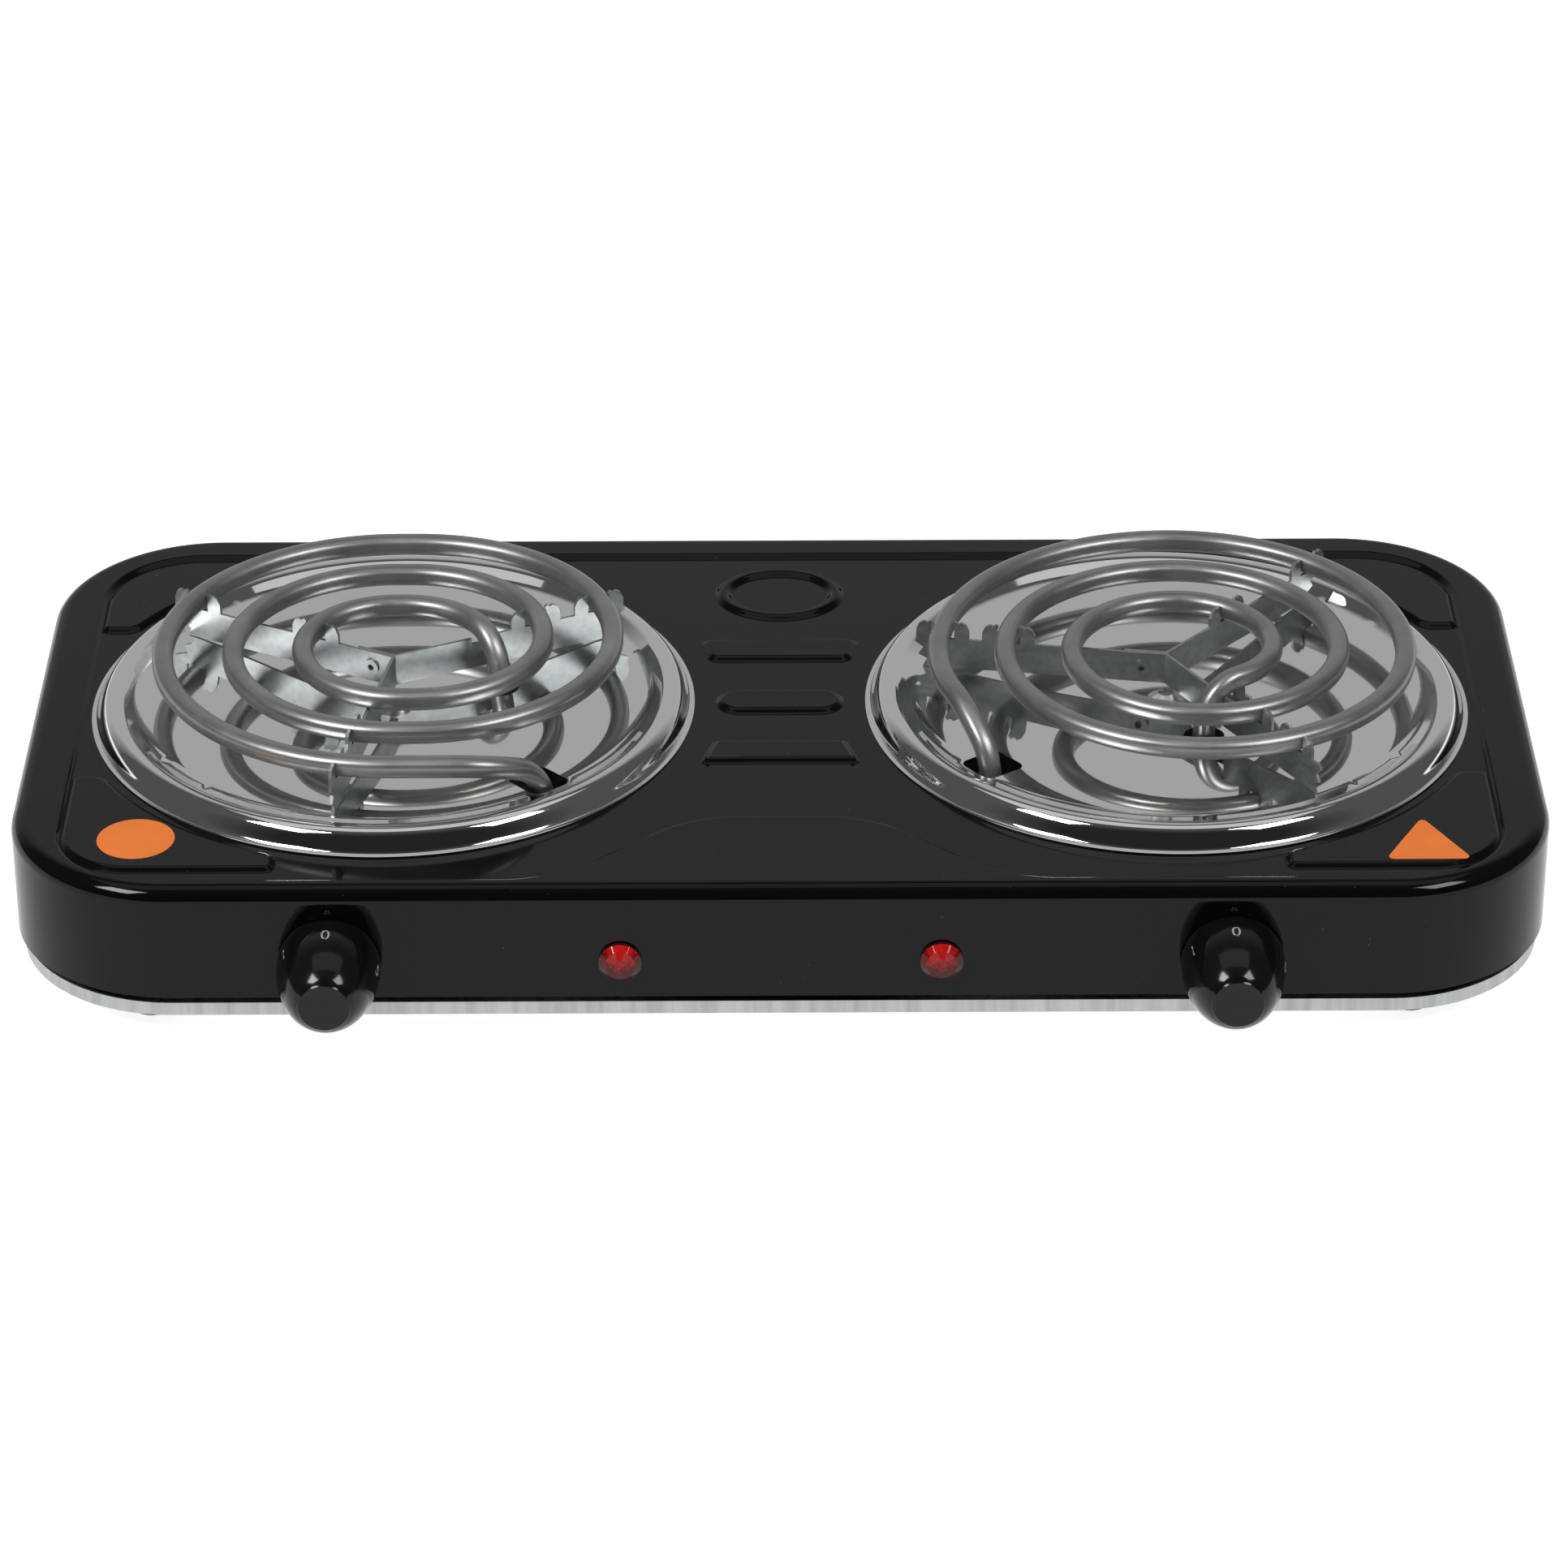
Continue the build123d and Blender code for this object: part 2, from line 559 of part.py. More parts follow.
def element_path(name):
    """The tube's centre line, from the outer leg's lower end to the inner leg's."""
    element = ELEMENTS[name]
    x, y = element["leg"]
    start = Vector(SIDES[name] * PAN_SPACING / 2 + x, pan_y + y, LEG_END)
    leg = coil_z - LEG_END - shift(UP, element["rise"]).Z
    drop = coil_z - DOWN_BEND_RADIUS - LEG_END
    with BuildLine() as path:
        draw_moves(start, UP, [leg, *element["rise"], *element["spiral"], drop])
    return path.wire()


paths = {name: element_path(name) for name in ELEMENTS}
legs = {name: (path @ 0, path @ 1) for name, path in paths.items()}

# --- Drip pans ---


def dish_height(radius):
    """Height of the dish's surface above the lip's top: shallow in the middle, level at the ledge."""
    share = 1 - (radius / LEDGE_RADIUS) ** 2
    return LEDGE_HEIGHT - DISH_DEPTH * share**DISH_SHARPNESS


pan_centre_height = dish_height(0)
PAN_PROFILE = [
    (PAN_RADIUS, 0),
    (PAN_RADIUS - LIP_WIDTH, 0),
    (CROWN_RADIUS + 3.7, CROWN_HEIGHT - 1.7),
    (CROWN_RADIUS + 1.8, CROWN_HEIGHT - 0.3),
    (CROWN_RADIUS, CROWN_HEIGHT),
    (CROWN_RADIUS - 3.2, CROWN_HEIGHT - 1.0),
    (LEDGE_RADIUS, LEDGE_HEIGHT),
    *((LEDGE_RADIUS * share, dish_height(LEDGE_RADIUS * share)) for share in (0.87, 0.7, 0.5, 0.3)),
    (PAN_SEAT_RADIUS, pan_centre_height),
    (CLAMP_RADIUS + FIT, pan_centre_height),
]


def drip_pan(name):
    """A chromed pressing: flat lip, rolled crown, small step and shallow dish, with two holes for the legs."""
    centre = Vector(SIDES[name] * PAN_SPACING / 2, pan_y, lip_top)
    outer_leg, inner_leg = (leg - centre for leg in legs[name])
    with BuildPart() as pan:
        with BuildSketch(Plane.XZ):
            with BuildLine():
                surface = Polyline(*PAN_PROFILE)
                offset(surface, amount=PAN_SHEET, kind=Kind.INTERSECTION, side=Side.LEFT)
            make_face()
        revolve(axis=Axis.Z)
        with BuildSketch(Plane.XY.offset(-DISH_DEPTH)):
            length, width = OUTER_HOLE
            angle = degrees(atan2(outer_leg.Y, outer_leg.X))
            radius = LEDGE_RADIUS - OUTER_HOLE_MARGIN - length / 2
            with Locations(Location((radius * cos(radians(angle)), radius * sin(radians(angle))), angle)):
                Rectangle(length, width)
            with Locations((inner_leg.X, inner_leg.Y)):
                Circle(INNER_HOLE_RADIUS)
        extrude(amount=2 * DISH_DEPTH + CROWN_HEIGHT, mode=Mode.SUBTRACT)
    pan.part = pan.part.moved(Location(centre))
    return pan


for name in SIDES:
    save(drip_pan(name), f"drip_pan_{name}")

# --- Spiral elements, their insulating beads and end pins ---


def upright_at_leg(moves):
    """The direction across the outer leg that the bends turn upright in the flat coil."""
    headings = [UP] + [move[0] for move in moves if isinstance(move, tuple)]
    upright = UP
    for before, after in reversed(list(zip(headings, headings[1:]))):
        upright = upright.rotate(Axis((0, 0, 0), before.cross(after)), -before.get_angle(after))
    return upright


def spiral_element(name):
    """The sheathed tube, swept along its path. The flat coil has a flat on top for a pot to stand on."""
    path = paths[name]
    across = upright_at_leg(ELEMENTS[name]["rise"])
    with BuildPart() as coil:
        with BuildSketch(Plane(origin=path @ 0, z_dir=path % 0, x_dir=across)) as section:
            RegularPolygon(TUBE_RADIUS, TUBE_SIDES, major_radius=False, rotation=180 / TUBE_SIDES)
        sweep(sections=section.sketch, path=path)
        with BuildSketch(Plane.XY.offset(LEG_END)):
            with Locations(*[(leg.X, leg.Y) for leg in legs[name]]):
                Circle(END_PIN_RADIUS + FIT)
        extrude(amount=BEAD_LENGTH, mode=Mode.SUBTRACT)
    return coil


for name in SIDES:
    save(spiral_element(name), f"coil_{name}")

leg_spots = [(leg.X, leg.Y) for pair in legs.values() for leg in pair]

with BuildPart() as end_pins:
    with BuildSketch(Plane.XY.offset(LEG_END - END_PIN_LENGTH)):
        with Locations(*leg_spots):
            Circle(END_PIN_RADIUS)
    extrude(amount=END_PIN_LENGTH + BEAD_LENGTH - FIT)
save(end_pins, "element_end_pins")

with BuildPart() as end_beads:
    with BuildSketch(Plane.XY.offset(LEG_END)):
        with Locations(*leg_spots):
            Circle(BEAD_RADIUS)
            Circle(END_PIN_RADIUS + FIT, mode=Mode.SUBTRACT)
    extrude(amount=-BEAD_LENGTH)
save(end_beads, "element_end_beads")

# --- Element supports ---


def hub_of(name):
    return Vector(SIDES[name] * PAN_SPACING / 2, pan_y + HUB_SETBACK)


def arm_length(name, start, direction):
    """Distance from start to the seat circle on the dish."""
    centre = Vector(SIDES[name] * PAN_SPACING / 2, pan_y)
    offset_in = start - centre
    along = offset_in.dot(direction)
    return -along + sqrt(along**2 - offset_in.dot(offset_in) + STRIP_SEAT_RADIUS**2)


def crossings(name, start, direction):
    """Where the tube crosses an arm: distance along it, half the gap it needs and how far it dips there."""
    path = paths[name]
    steps = 1200
    found = []
    across = direction.rotate(Axis.Z, 90)
    before = None
    for step in range(steps + 1):
        point = path @ (step / steps)
        offset_in = Vector(point.X, point.Y) - start
        side = offset_in.dot(across)
        if before is not None and side * before < 0 and offset_in.dot(direction) > 0 and point.Z > strip_top:
            tangent = path % (step / steps)
            level = sqrt(1 - tangent.Z**2)
            squareness = abs(tangent.dot(across)) / level
            dip = coil_z - point.Z + TUBE_RADIUS * (1 / level - 1)
            found.append((offset_in.dot(direction), (TUBE_RADIUS + TAB_CLEARANCE) / squareness, dip))
        before = side
    return sorted(found, reverse=True)


def tab(place, gap, outward):
    """One tab beside the tube: a post with a notched, slightly hooked tip."""
    edge = place + outward * gap
    outline = [
        (0, -0.5), (0, TAB_HEIGHT - 1.8), (-TAB_LEAN, TAB_HEIGHT - 0.6), (0.3, TAB_HEIGHT), (1.3, TAB_HEIGHT - 0.7),
        (2.2, TAB_HEIGHT - 0.2), (TAB_WIDTH - 1.0, TAB_HEIGHT - 1.0), (TAB_WIDTH, TAB_HEIGHT - 3.0), (TAB_WIDTH, -0.5),
    ]
    Polygon(*[(edge + outward * across, STRIP_HEIGHT + up) for across, up in outline], align=None)


def arm(name, start, angle, clipped):
    """One arm of a support: an upright strip with a wavy outer end and pairs of tabs beside the turns."""
    direction = Vector(1, 0).rotate(Axis.Z, angle)
    length = arm_length(name, start, direction)
    plane = Plane(
        origin=(start.X, start.Y, strip_bottom), x_dir=direction, z_dir=direction.rotate(Axis.Z, -90)
    )
    turns = crossings(name, start, direction)
    place, gap, _ = turns[clipped[0]]
    reach = max(length, place + gap + TAB_WIDTH + TAB_MARGIN)
    with BuildSketch(plane) as outline:
        Polygon(
            (0, 0), (length - 2, 0), (length - 3.4, 0.27 * STRIP_HEIGHT), (length - 0.6, 0.42 * STRIP_HEIGHT),
            (length - 2.2, 0.66 * STRIP_HEIGHT), (reach, 0.86 * STRIP_HEIGHT), (reach - TAB_MARGIN, STRIP_HEIGHT),
            (0, STRIP_HEIGHT), align=None,
        )
        for turn in clipped:
            place, gap, _ = turns[turn]
            tab(place, gap, 1)
            tab(place, gap, -1)
        for place, gap, dip in turns:
            if dip > HUB_GAP:
                with Locations((place, STRIP_HEIGHT)):
                    Rectangle(2 * gap, 2 * (dip + RELIEF_CLEARANCE), mode=Mode.SUBTRACT)
    extrude(to_extrude=outline.sketch, amount=STRIP_SHEET / 2, both=True)


def bend_post(start):
    """Rounds the outside of the strip's fold at the hub."""
    with BuildSketch(Plane.XY.offset(strip_bottom)) as post:
        with Locations((start.X, start.Y)):
            Circle(STRIP_SHEET / 2)
    extrude(to_extrude=post.sketch, amount=STRIP_HEIGHT)


def rivet_hole_plane(name):
    """Plane of the left arm's side face, centred on the rivet."""
    direction = Vector(1, 0).rotate(Axis.Z, ELEMENTS[name]["arms"]["left"])
    at = hub_of(name) + direction * RIVET_PLACE
    return Plane(
        origin=(at.X, at.Y, strip_bottom + STRIP_HEIGHT / 2), x_dir=direction, z_dir=direction.rotate(Axis.Z, 90)
    )


def support_strip(name):
    """The strip that is folded at the hub into the left and the front arm."""
    arms, clipped = ELEMENTS[name]["arms"], ELEMENTS[name]["clipped"]
    hub = hub_of(name)
    with BuildPart() as strip:
        arm(name, hub, arms["left"], clipped["left"])
        arm(name, hub, arms["front"], clipped["front"])
        bend_post(hub)
        with BuildSketch(rivet_hole_plane(name)) as hole:
            Circle(RIVET_RADIUS + FIT)
        extrude(to_extrude=hole.sketch, amount=STRIP_SHEET, both=True, mode=Mode.SUBTRACT)
    return strip


def support_arm(name):
    """The rear arm, with a flange that lies against the left arm and is riveted to it."""
    arms, clipped = ELEMENTS[name]["arms"], ELEMENTS[name]["clipped"]
    direction = Vector(1, 0).rotate(Axis.Z, arms["left"])
    behind = direction.rotate(Axis.Z, -90) * (STRIP_SHEET + HUB_GAP)
    start = hub_of(name) + behind
    plane = Plane(origin=(start.X, start.Y, strip_bottom), x_dir=direction, z_dir=direction.rotate(Axis.Z, -90))
    with BuildPart() as piece:
        arm(name, start, arms["rear"], clipped["rear"])
        bend_post(start)
        with BuildSketch(plane) as flange:
            Polygon((0, 0), (FLANGE_LENGTH, 0), (FLANGE_LENGTH, STRIP_HEIGHT), (0, STRIP_HEIGHT), align=None)
        extrude(to_extrude=flange.sketch, amount=STRIP_SHEET / 2, both=True)
        with BuildSketch(rivet_hole_plane(name)) as hole:
            Circle(RIVET_RADIUS + FIT)
        extrude(to_extrude=hole.sketch, amount=-2 * STRIP_SHEET, mode=Mode.SUBTRACT)
    return piece


for name in SIDES:
    save(support_strip(name), f"support_strip_{name}")
    save(support_arm(name), f"support_arm_{name}")

with BuildPart() as rivets:
    for name in SIDES:
        face = rivet_hole_plane(name)
        front = face.offset(STRIP_SHEET / 2)
        rear = face.offset(-1.5 * STRIP_SHEET - HUB_GAP)
        with BuildSketch(front) as head:
            Circle(RIVET_HEAD_RADIUS)
        extrude(to_extrude=head.sketch, amount=RIVET_HEAD_HEIGHT)
        with BuildSketch(rear) as tail:
            Circle(RIVET_HEAD_RADIUS)
        extrude(to_extrude=tail.sketch, amount=-RIVET_HEAD_HEIGHT)
        with BuildSketch(rear) as shank:
            Circle(RIVET_RADIUS)
        extrude(to_extrude=shank.sketch, amount=2 * STRIP_SHEET + HUB_GAP)
        with BuildSketch(front.offset(RIVET_HEAD_HEIGHT)) as bore:
            Circle(RIVET_BORE)
        extrude(to_extrude=bore.sketch, amount=-2 * STRIP_SHEET, mode=Mode.SUBTRACT)
save(rivets, "support_rivets")

# --- Clamping screws, nuts and channels ---

pan_spots = [(side * PAN_SPACING / 2, pan_y) for side in SIDES.values()]
seat_z = lip_top + pan_centre_height
bridge_top = floor_under

with BuildPart() as centre_screws:
    with BuildSketch(Plane.XY.offset(seat_z)):
        with Locations(*pan_spots):
            Circle(CLAMP_HEAD_RADIUS)
    extrude(amount=CLAMP_HEAD_HEIGHT / 3)
    with BuildSketch(Plane.XY.offset(seat_z + CLAMP_HEAD_HEIGHT / 3)):
        with Locations(*pan_spots):
            Circle(CLAMP_HEAD_RADIUS)
    extrude(amount=2 * CLAMP_HEAD_HEIGHT / 3, taper=55)
    with BuildSketch(Plane.XY.offset(seat_z)):
        with Locations(*pan_spots):
            Circle(CLAMP_RADIUS)
    extrude(amount=-CLAMP_LENGTH)
    with BuildSketch(Plane.XY.offset(seat_z + CLAMP_HEAD_HEIGHT)):
        with Locations(*pan_spots):
            Rectangle(CROSS_SPAN, CROSS_WIDTH)
            Rectangle(CROSS_WIDTH, CROSS_SPAN)
    extrude(amount=-CROSS_DEPTH, mode=Mode.SUBTRACT)
save(centre_screws, "centre_screws")

with BuildPart() as centre_nuts:
    with BuildSketch(Plane.XY.offset(bridge_top - BRIDGE_SHEET)):
        with Locations(*pan_spots):
            RegularPolygon(NUT_ACROSS / 2, 6, major_radius=False)
            Circle(CLAMP_RADIUS + FIT, mode=Mode.SUBTRACT)
    extrude(amount=-NUT_HEIGHT)
save(centre_nuts, "centre_nuts")


def burner_bridge(name):
    """A channel across the underside of the housing's hole, which the centre screw pulls up."""
    centre = Vector(SIDES[name] * PAN_SPACING / 2, pan_y, bridge_top)
    plane = Plane(origin=centre, x_dir=Vector(1, 0).rotate(Axis.Z, BRIDGE_ANGLE), z_dir=UP)
    with BuildPart() as bridge:
        with BuildSketch(plane) as top:
            Rectangle(bridge_length, BRIDGE_WIDTH)
        extrude(to_extrude=top.sketch, amount=-BRIDGE_FLANGE)
        with BuildSketch(plane.offset(-BRIDGE_SHEET)) as inside:
            Rectangle(bridge_length, BRIDGE_WIDTH - 2 * BRIDGE_SHEET)
        extrude(to_extrude=inside.sketch, amount=-BRIDGE_FLANGE, mode=Mode.SUBTRACT)
        with BuildSketch(plane) as hole:
            Circle(CLAMP_RADIUS + FIT)
        extrude(to_extrude=hole.sketch, amount=-BRIDGE_SHEET, mode=Mode.SUBTRACT)
    return bridge


for name in SIDES:
    save(burner_bridge(name), f"burner_bridge_{name}")

# --- Controls ---

KNOB_PROFILE = [(0.98, 0.05), (1.0, 0.2), (0.95, 0.42), (0.85, 0.66), (0.72, 0.83), (0.6, 0.93)]


def knob(name):
    """A turned-looking knob: straight skirt, domed sides and a small flat face, hollow behind, with a D bore."""
    x = SIDES[name] * knob_x
    base = Plane(origin=(x, front_y - KNOB_GAP, control_z), x_dir=(1, 0, 0), z_dir=(0, -1, 0))
    with BuildPart() as piece:
        with BuildSketch(Plane(origin=base.origin, x_dir=(1, 0, 0), z_dir=(0, 0, 1))) as half:
            with BuildLine():
                Polyline(
                    (0, 0), (0.98 * KNOB_RADIUS, 0),
                    *[(KNOB_RADIUS * out, -KNOB_LENGTH * up) for out, up in KNOB_PROFILE],
                    (KNOB_FACE_RADIUS, -KNOB_LENGTH), (0, -KNOB_LENGTH), close=True,
                )
            make_face()
        revolve(profiles=half.sketch, axis=Axis(base.origin, (0, -1, 0)))
        with BuildSketch(base) as cavity:
            Circle(KNOB_RADIUS - KNOB_WALL)
            Circle(SHAFT_RADIUS + KNOB_WALL, mode=Mode.SUBTRACT)
        extrude(to_extrude=cavity.sketch, amount=KNOB_CAVITY, mode=Mode.SUBTRACT)
        with BuildSketch(base) as bore:
            Circle(SHAFT_RADIUS + FIT)
            with Locations((0, -SHAFT_RADIUS)):
                Rectangle(4 * SHAFT_RADIUS, 2 * (SHAFT_RADIUS - SHAFT_FLAT - FIT), mode=Mode.SUBTRACT)
        extrude(to_extrude=bore.sketch, amount=KNOB_GRIP_LENGTH, mode=Mode.SUBTRACT)
    return piece


def thermostat_shaft(name):
    """The regulator's spindle: round in the thermostat, with a D flat in the knob."""
    x = SIDES[name] * knob_x
    tail = Plane(origin=(x, inner_front_y + THERMOSTAT_PLATE[2] + SHAFT_DEPTH, control_z), x_dir=(1, 0, 0), z_dir=(0, -1, 0))
    length = SHAFT_DEPTH + THERMOSTAT_PLATE[2] + SHEET + KNOB_GAP
    with BuildPart() as shaft:
        with BuildSketch(tail) as round_part:
            Circle(SHAFT_RADIUS)
        extrude(to_extrude=round_part.sketch, amount=length)
        with BuildSketch(tail.offset(length)) as flat_part:
            Circle(SHAFT_RADIUS)
            with Locations((0, -SHAFT_RADIUS)):
                Rectangle(4 * SHAFT_RADIUS, 2 * (SHAFT_RADIUS - SHAFT_FLAT), mode=Mode.SUBTRACT)
        extrude(to_extrude=flat_part.sketch, amount=KNOB_GRIP_LENGTH - FIT)
    return shaft


def panel_plane(x, y):
    """A plane that faces the user, at a place behind or on the front panel."""
    return Plane(origin=(x, y, control_z), x_dir=(1, 0, 0), z_dir=(0, -1, 0))


def thermostat_body(name):
    """The ceramic stack behind the panel, with the spindle's threaded bush in front."""
    x = SIDES[name] * knob_x
    plate_back = inner_front_y + THERMOSTAT_PLATE[2]
    width, depth, height = THERMOSTAT_BODY
    with BuildPart() as body:
        with BuildSketch(panel_plane(x, plate_back)) as block:
            Rectangle(width, height)
        extrude(to_extrude=block.sketch, amount=-depth)
        chamfer(body.edges().filter_by(Axis.Y), 3)
        with BuildSketch(panel_plane(x, plate_back)) as bush:
            Circle(THERMOSTAT_BUSH_RADIUS)
        extrude(to_extrude=bush.sketch, amount=THERMOSTAT_PLATE[2] + SHEET)
        with BuildSketch(panel_plane(x, front_y)) as bore:
            Circle(SHAFT_RADIUS + FIT)
        bore_depth = SHAFT_DEPTH + THERMOSTAT_PLATE[2] + SHEET + 1
        extrude(to_extrude=bore.sketch, amount=-bore_depth, mode=Mode.SUBTRACT)
    return body


def thermostat_plate(name):
    """The mounting plate between the panel and the thermostat."""
    x = SIDES[name] * knob_x
    width, height, thickness = THERMOSTAT_PLATE
    with BuildPart() as plate:
        with BuildSketch(panel_plane(x, inner_front_y)) as outline:
            RectangleRounded(width, height, 3)
            Circle(THERMOSTAT_BUSH_RADIUS + FIT, mode=Mode.SUBTRACT)
            with GridLocations(THERMOSTAT_SCREW_SPACING, 0, 2, 1):
                Circle(THERMOSTAT_SCREW_RADIUS + FIT, mode=Mode.SUBTRACT)
        extrude(to_extrude=outline.sketch, amount=-thickness)
    return plate


def contact_leaf(name):
    """The bimetal leaf that reaches back from the thermostat, under its body."""
    x = SIDES[name] * knob_x
    width, length, thickness = THERMOSTAT_LEAF
    bottom = control_z - THERMOSTAT_BODY[2] / 2
    start = inner_front_y + THERMOSTAT_PLATE[2] + 2
    with BuildPart() as leaf:
        with BuildSketch(Plane.XY.offset(bottom)):
            with Locations((x, start + length / 2)):
                RectangleRounded(width, length, LEAF_ROUND)
        extrude(amount=-thickness)
    return leaf


for name in SIDES:
    save(knob(name), f"knob_{name}")
    save(thermostat_shaft(name), f"thermostat_shaft_{name}")
    save(thermostat_body(name), f"thermostat_body_{name}")
    save(thermostat_plate(name), f"thermostat_plate_{name}")
    save(contact_leaf(name), f"thermostat_leaf_{name}")

with BuildPart() as thermostat_screws:
    spots = [
        (side * knob_x + across * THERMOSTAT_SCREW_SPACING / 2, control_z)
        for side in SIDES.values() for across in (-1, 1)
    ]
    with BuildSketch(Plane.XZ.offset(-front_y)):
        with Locations(*spots):
            Circle(THERMOSTAT_SCREW_HEAD)
    extrude(amount=THERMOSTAT_SCREW_RISE, taper=THERMOSTAT_SCREW_TAPER)
    with BuildSketch(Plane.XZ.offset(-front_y)):
        with Locations(*spots):
            Circle(THERMOSTAT_SCREW_RADIUS)
    extrude(amount=-SHEET - THERMOSTAT_PLATE[2])
save(thermostat_screws, "thermostat_screws")


def lamp_lens(name):
    """A red domed lens whose hollow barrel goes through the panel."""
    x = SIDES[name] * LAMP_SPACING / 2
    with BuildPart() as lens:
        with BuildSketch(Plane(origin=(x, front_y, control_z), x_dir=(1, 0, 0), z_dir=(0, 0, 1))) as half:
            with BuildLine():
                tip = LENS_FLANGE + LENS_DOME
                inner = LENS_BARREL_RADIUS - LENS_WALL
                Polyline((0, -tip + 1), (inner, -LENS_FLANGE + 0.4), (inner, LENS_BARREL), (LENS_BARREL_RADIUS, LENS_BARREL),
                         (LENS_BARREL_RADIUS, 0), (LENS_RADIUS, 0), (LENS_RADIUS, -LENS_FLANGE),
                         (0.72 * LENS_RADIUS, -LENS_FLANGE - 0.65 * LENS_DOME), (0.35 * LENS_RADIUS, -tip + 0.15), (0, -tip),
                         close=True)
            make_face()
        revolve(profiles=half.sketch, axis=Axis((x, front_y, control_z), (0, -1, 0)))
    return lens


def lamp_body(name):
    """The neon lamp's holder, pushed into the lens from behind, with its two wires' sleeves."""
    x = SIDES[name] * LAMP_SPACING / 2
    front = front_y + LAMP_SETBACK
    bulb_radius = LENS_BARREL_RADIUS - LENS_WALL - LAMP_PLAY
    rear = front_y + LENS_BARREL + LAMP_PLAY
    with BuildPart() as lamp:
        with BuildSketch(panel_plane(x, front)) as bulb:
            Circle(bulb_radius)
        extrude(to_extrude=bulb.sketch, amount=-LENS_BARREL)
        with BuildSketch(panel_plane(x, rear)) as cap:
            Circle(LENS_BARREL_RADIUS)
        extrude(to_extrude=cap.sketch, amount=-(LAMP_LENGTH - LENS_BARREL), taper=LAMP_TAPER)
    return lamp


for name in SIDES:
    save(lamp_lens(name), f"lamp_lens_{name}")
    save(lamp_body(name), f"lamp_body_{name}")

# --- Mains connection ---

with BuildPart() as cord_bush:
    centre = (0, rear_y, skirt_bottom + BUSH_RISE)
    with BuildSketch(Plane(origin=centre, x_dir=(1, 0, 0), z_dir=(0, 0, 1))) as half:
        with BuildLine():
            Polyline((BUSH_BORE_RADIUS, BUSH_REACH), (BUSH_FLANGE_RADIUS - 1, BUSH_REACH), (BUSH_FLANGE_RADIUS, BUSH_REACH - 1.2),
                     (BUSH_FLANGE_RADIUS, 0), (BUSH_BODY_RADIUS, 0), (BUSH_BODY_RADIUS, -SHEET - FIT),
                     (BUSH_BODY_RADIUS + 0.8, -SHEET - FIT), (BUSH_BODY_RADIUS, BUSH_REACH - BUSH_LENGTH),
                     (BUSH_BORE_RADIUS, BUSH_REACH - BUSH_LENGTH), close=True)
        make_face()
    revolve(profiles=half.sketch, axis=Axis(centre, (0, 1, 0)))
save(cord_bush, "cord_bush")

block_y = rear_y - BLOCK_INSET
block_poles = [((pole - (BLOCK_POLES - 1) / 2) * BLOCK_POLE_PITCH, block_y) for pole in range(BLOCK_POLES)]

with BuildPart() as terminal_block:
    width, depth, height = BLOCK
    with BuildSketch(Plane.XY.offset(tray_floor)):
        with Locations((0, block_y)):
            Rectangle(width, depth)
    extrude(amount=height)
    chamfer(terminal_block.faces().sort_by(Axis.Z)[-1].edges().filter_by(Axis.X), BLOCK_BEVEL)
    with BuildSketch(Plane.XY.offset(tray_floor + height)):
        with Locations(*block_poles):
            Circle(BLOCK_SCREW_RADIUS + FIT)
    extrude(amount=-height / 2, mode=Mode.SUBTRACT)
    with BuildSketch(Plane.XZ.offset(-block_y - depth / 2)):
        with Locations(*[(x, tray_floor + height / 2 - 2) for x, _ in block_poles]):
            Circle(BLOCK_BORE_RADIUS)
    extrude(amount=depth, mode=Mode.SUBTRACT)
save(terminal_block, "terminal_block")

with BuildPart() as terminal_screws:
    with BuildSketch(Plane.XY.offset(tray_floor + BLOCK[2] / 2)):
        with Locations(*block_poles):
            Circle(BLOCK_SCREW_RADIUS)
    extrude(amount=BLOCK[2] / 2 - BLOCK_SCREW_SINK)
save(terminal_screws, "terminal_screws")

with BuildPart() as earth_screw:
    spot = (EARTH_PLACE[0], rear_y - EARTH_PLACE[1])
    with BuildSketch(Plane.XY.offset(FOOT_HEIGHT)):
        with Locations(spot):
            Circle(SCREW_HEAD_RADIUS)
    extrude(amount=-SCREW_HEAD_HEIGHT, taper=HEAD_TAPER)
    with BuildSketch(Plane.XY.offset(FOOT_HEIGHT)):
        with Locations(spot):
            Circle(EARTH_SCREW_RADIUS)
    extrude(amount=EARTH_LENGTH)
save(earth_screw, "earth_screw")

with BuildPart() as earth_nut:
    with BuildSketch(Plane.XY.offset(tray_floor)):
        with Locations(spot):
            RegularPolygon(EARTH_NUT_ACROSS / 2, 6, major_radius=False)
            Circle(EARTH_SCREW_RADIUS + FIT, mode=Mode.SUBTRACT)
    extrude(amount=EARTH_NUT_HEIGHT)
save(earth_nut, "earth_nut")
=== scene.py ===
from math import atan2, cos, pi, radians, sin, sqrt

import bmesh
import bpy
import numpy as np
from mathutils import Matrix, Quaternion, Vector
from mathutils.geometry import delaunay_2d_cdt

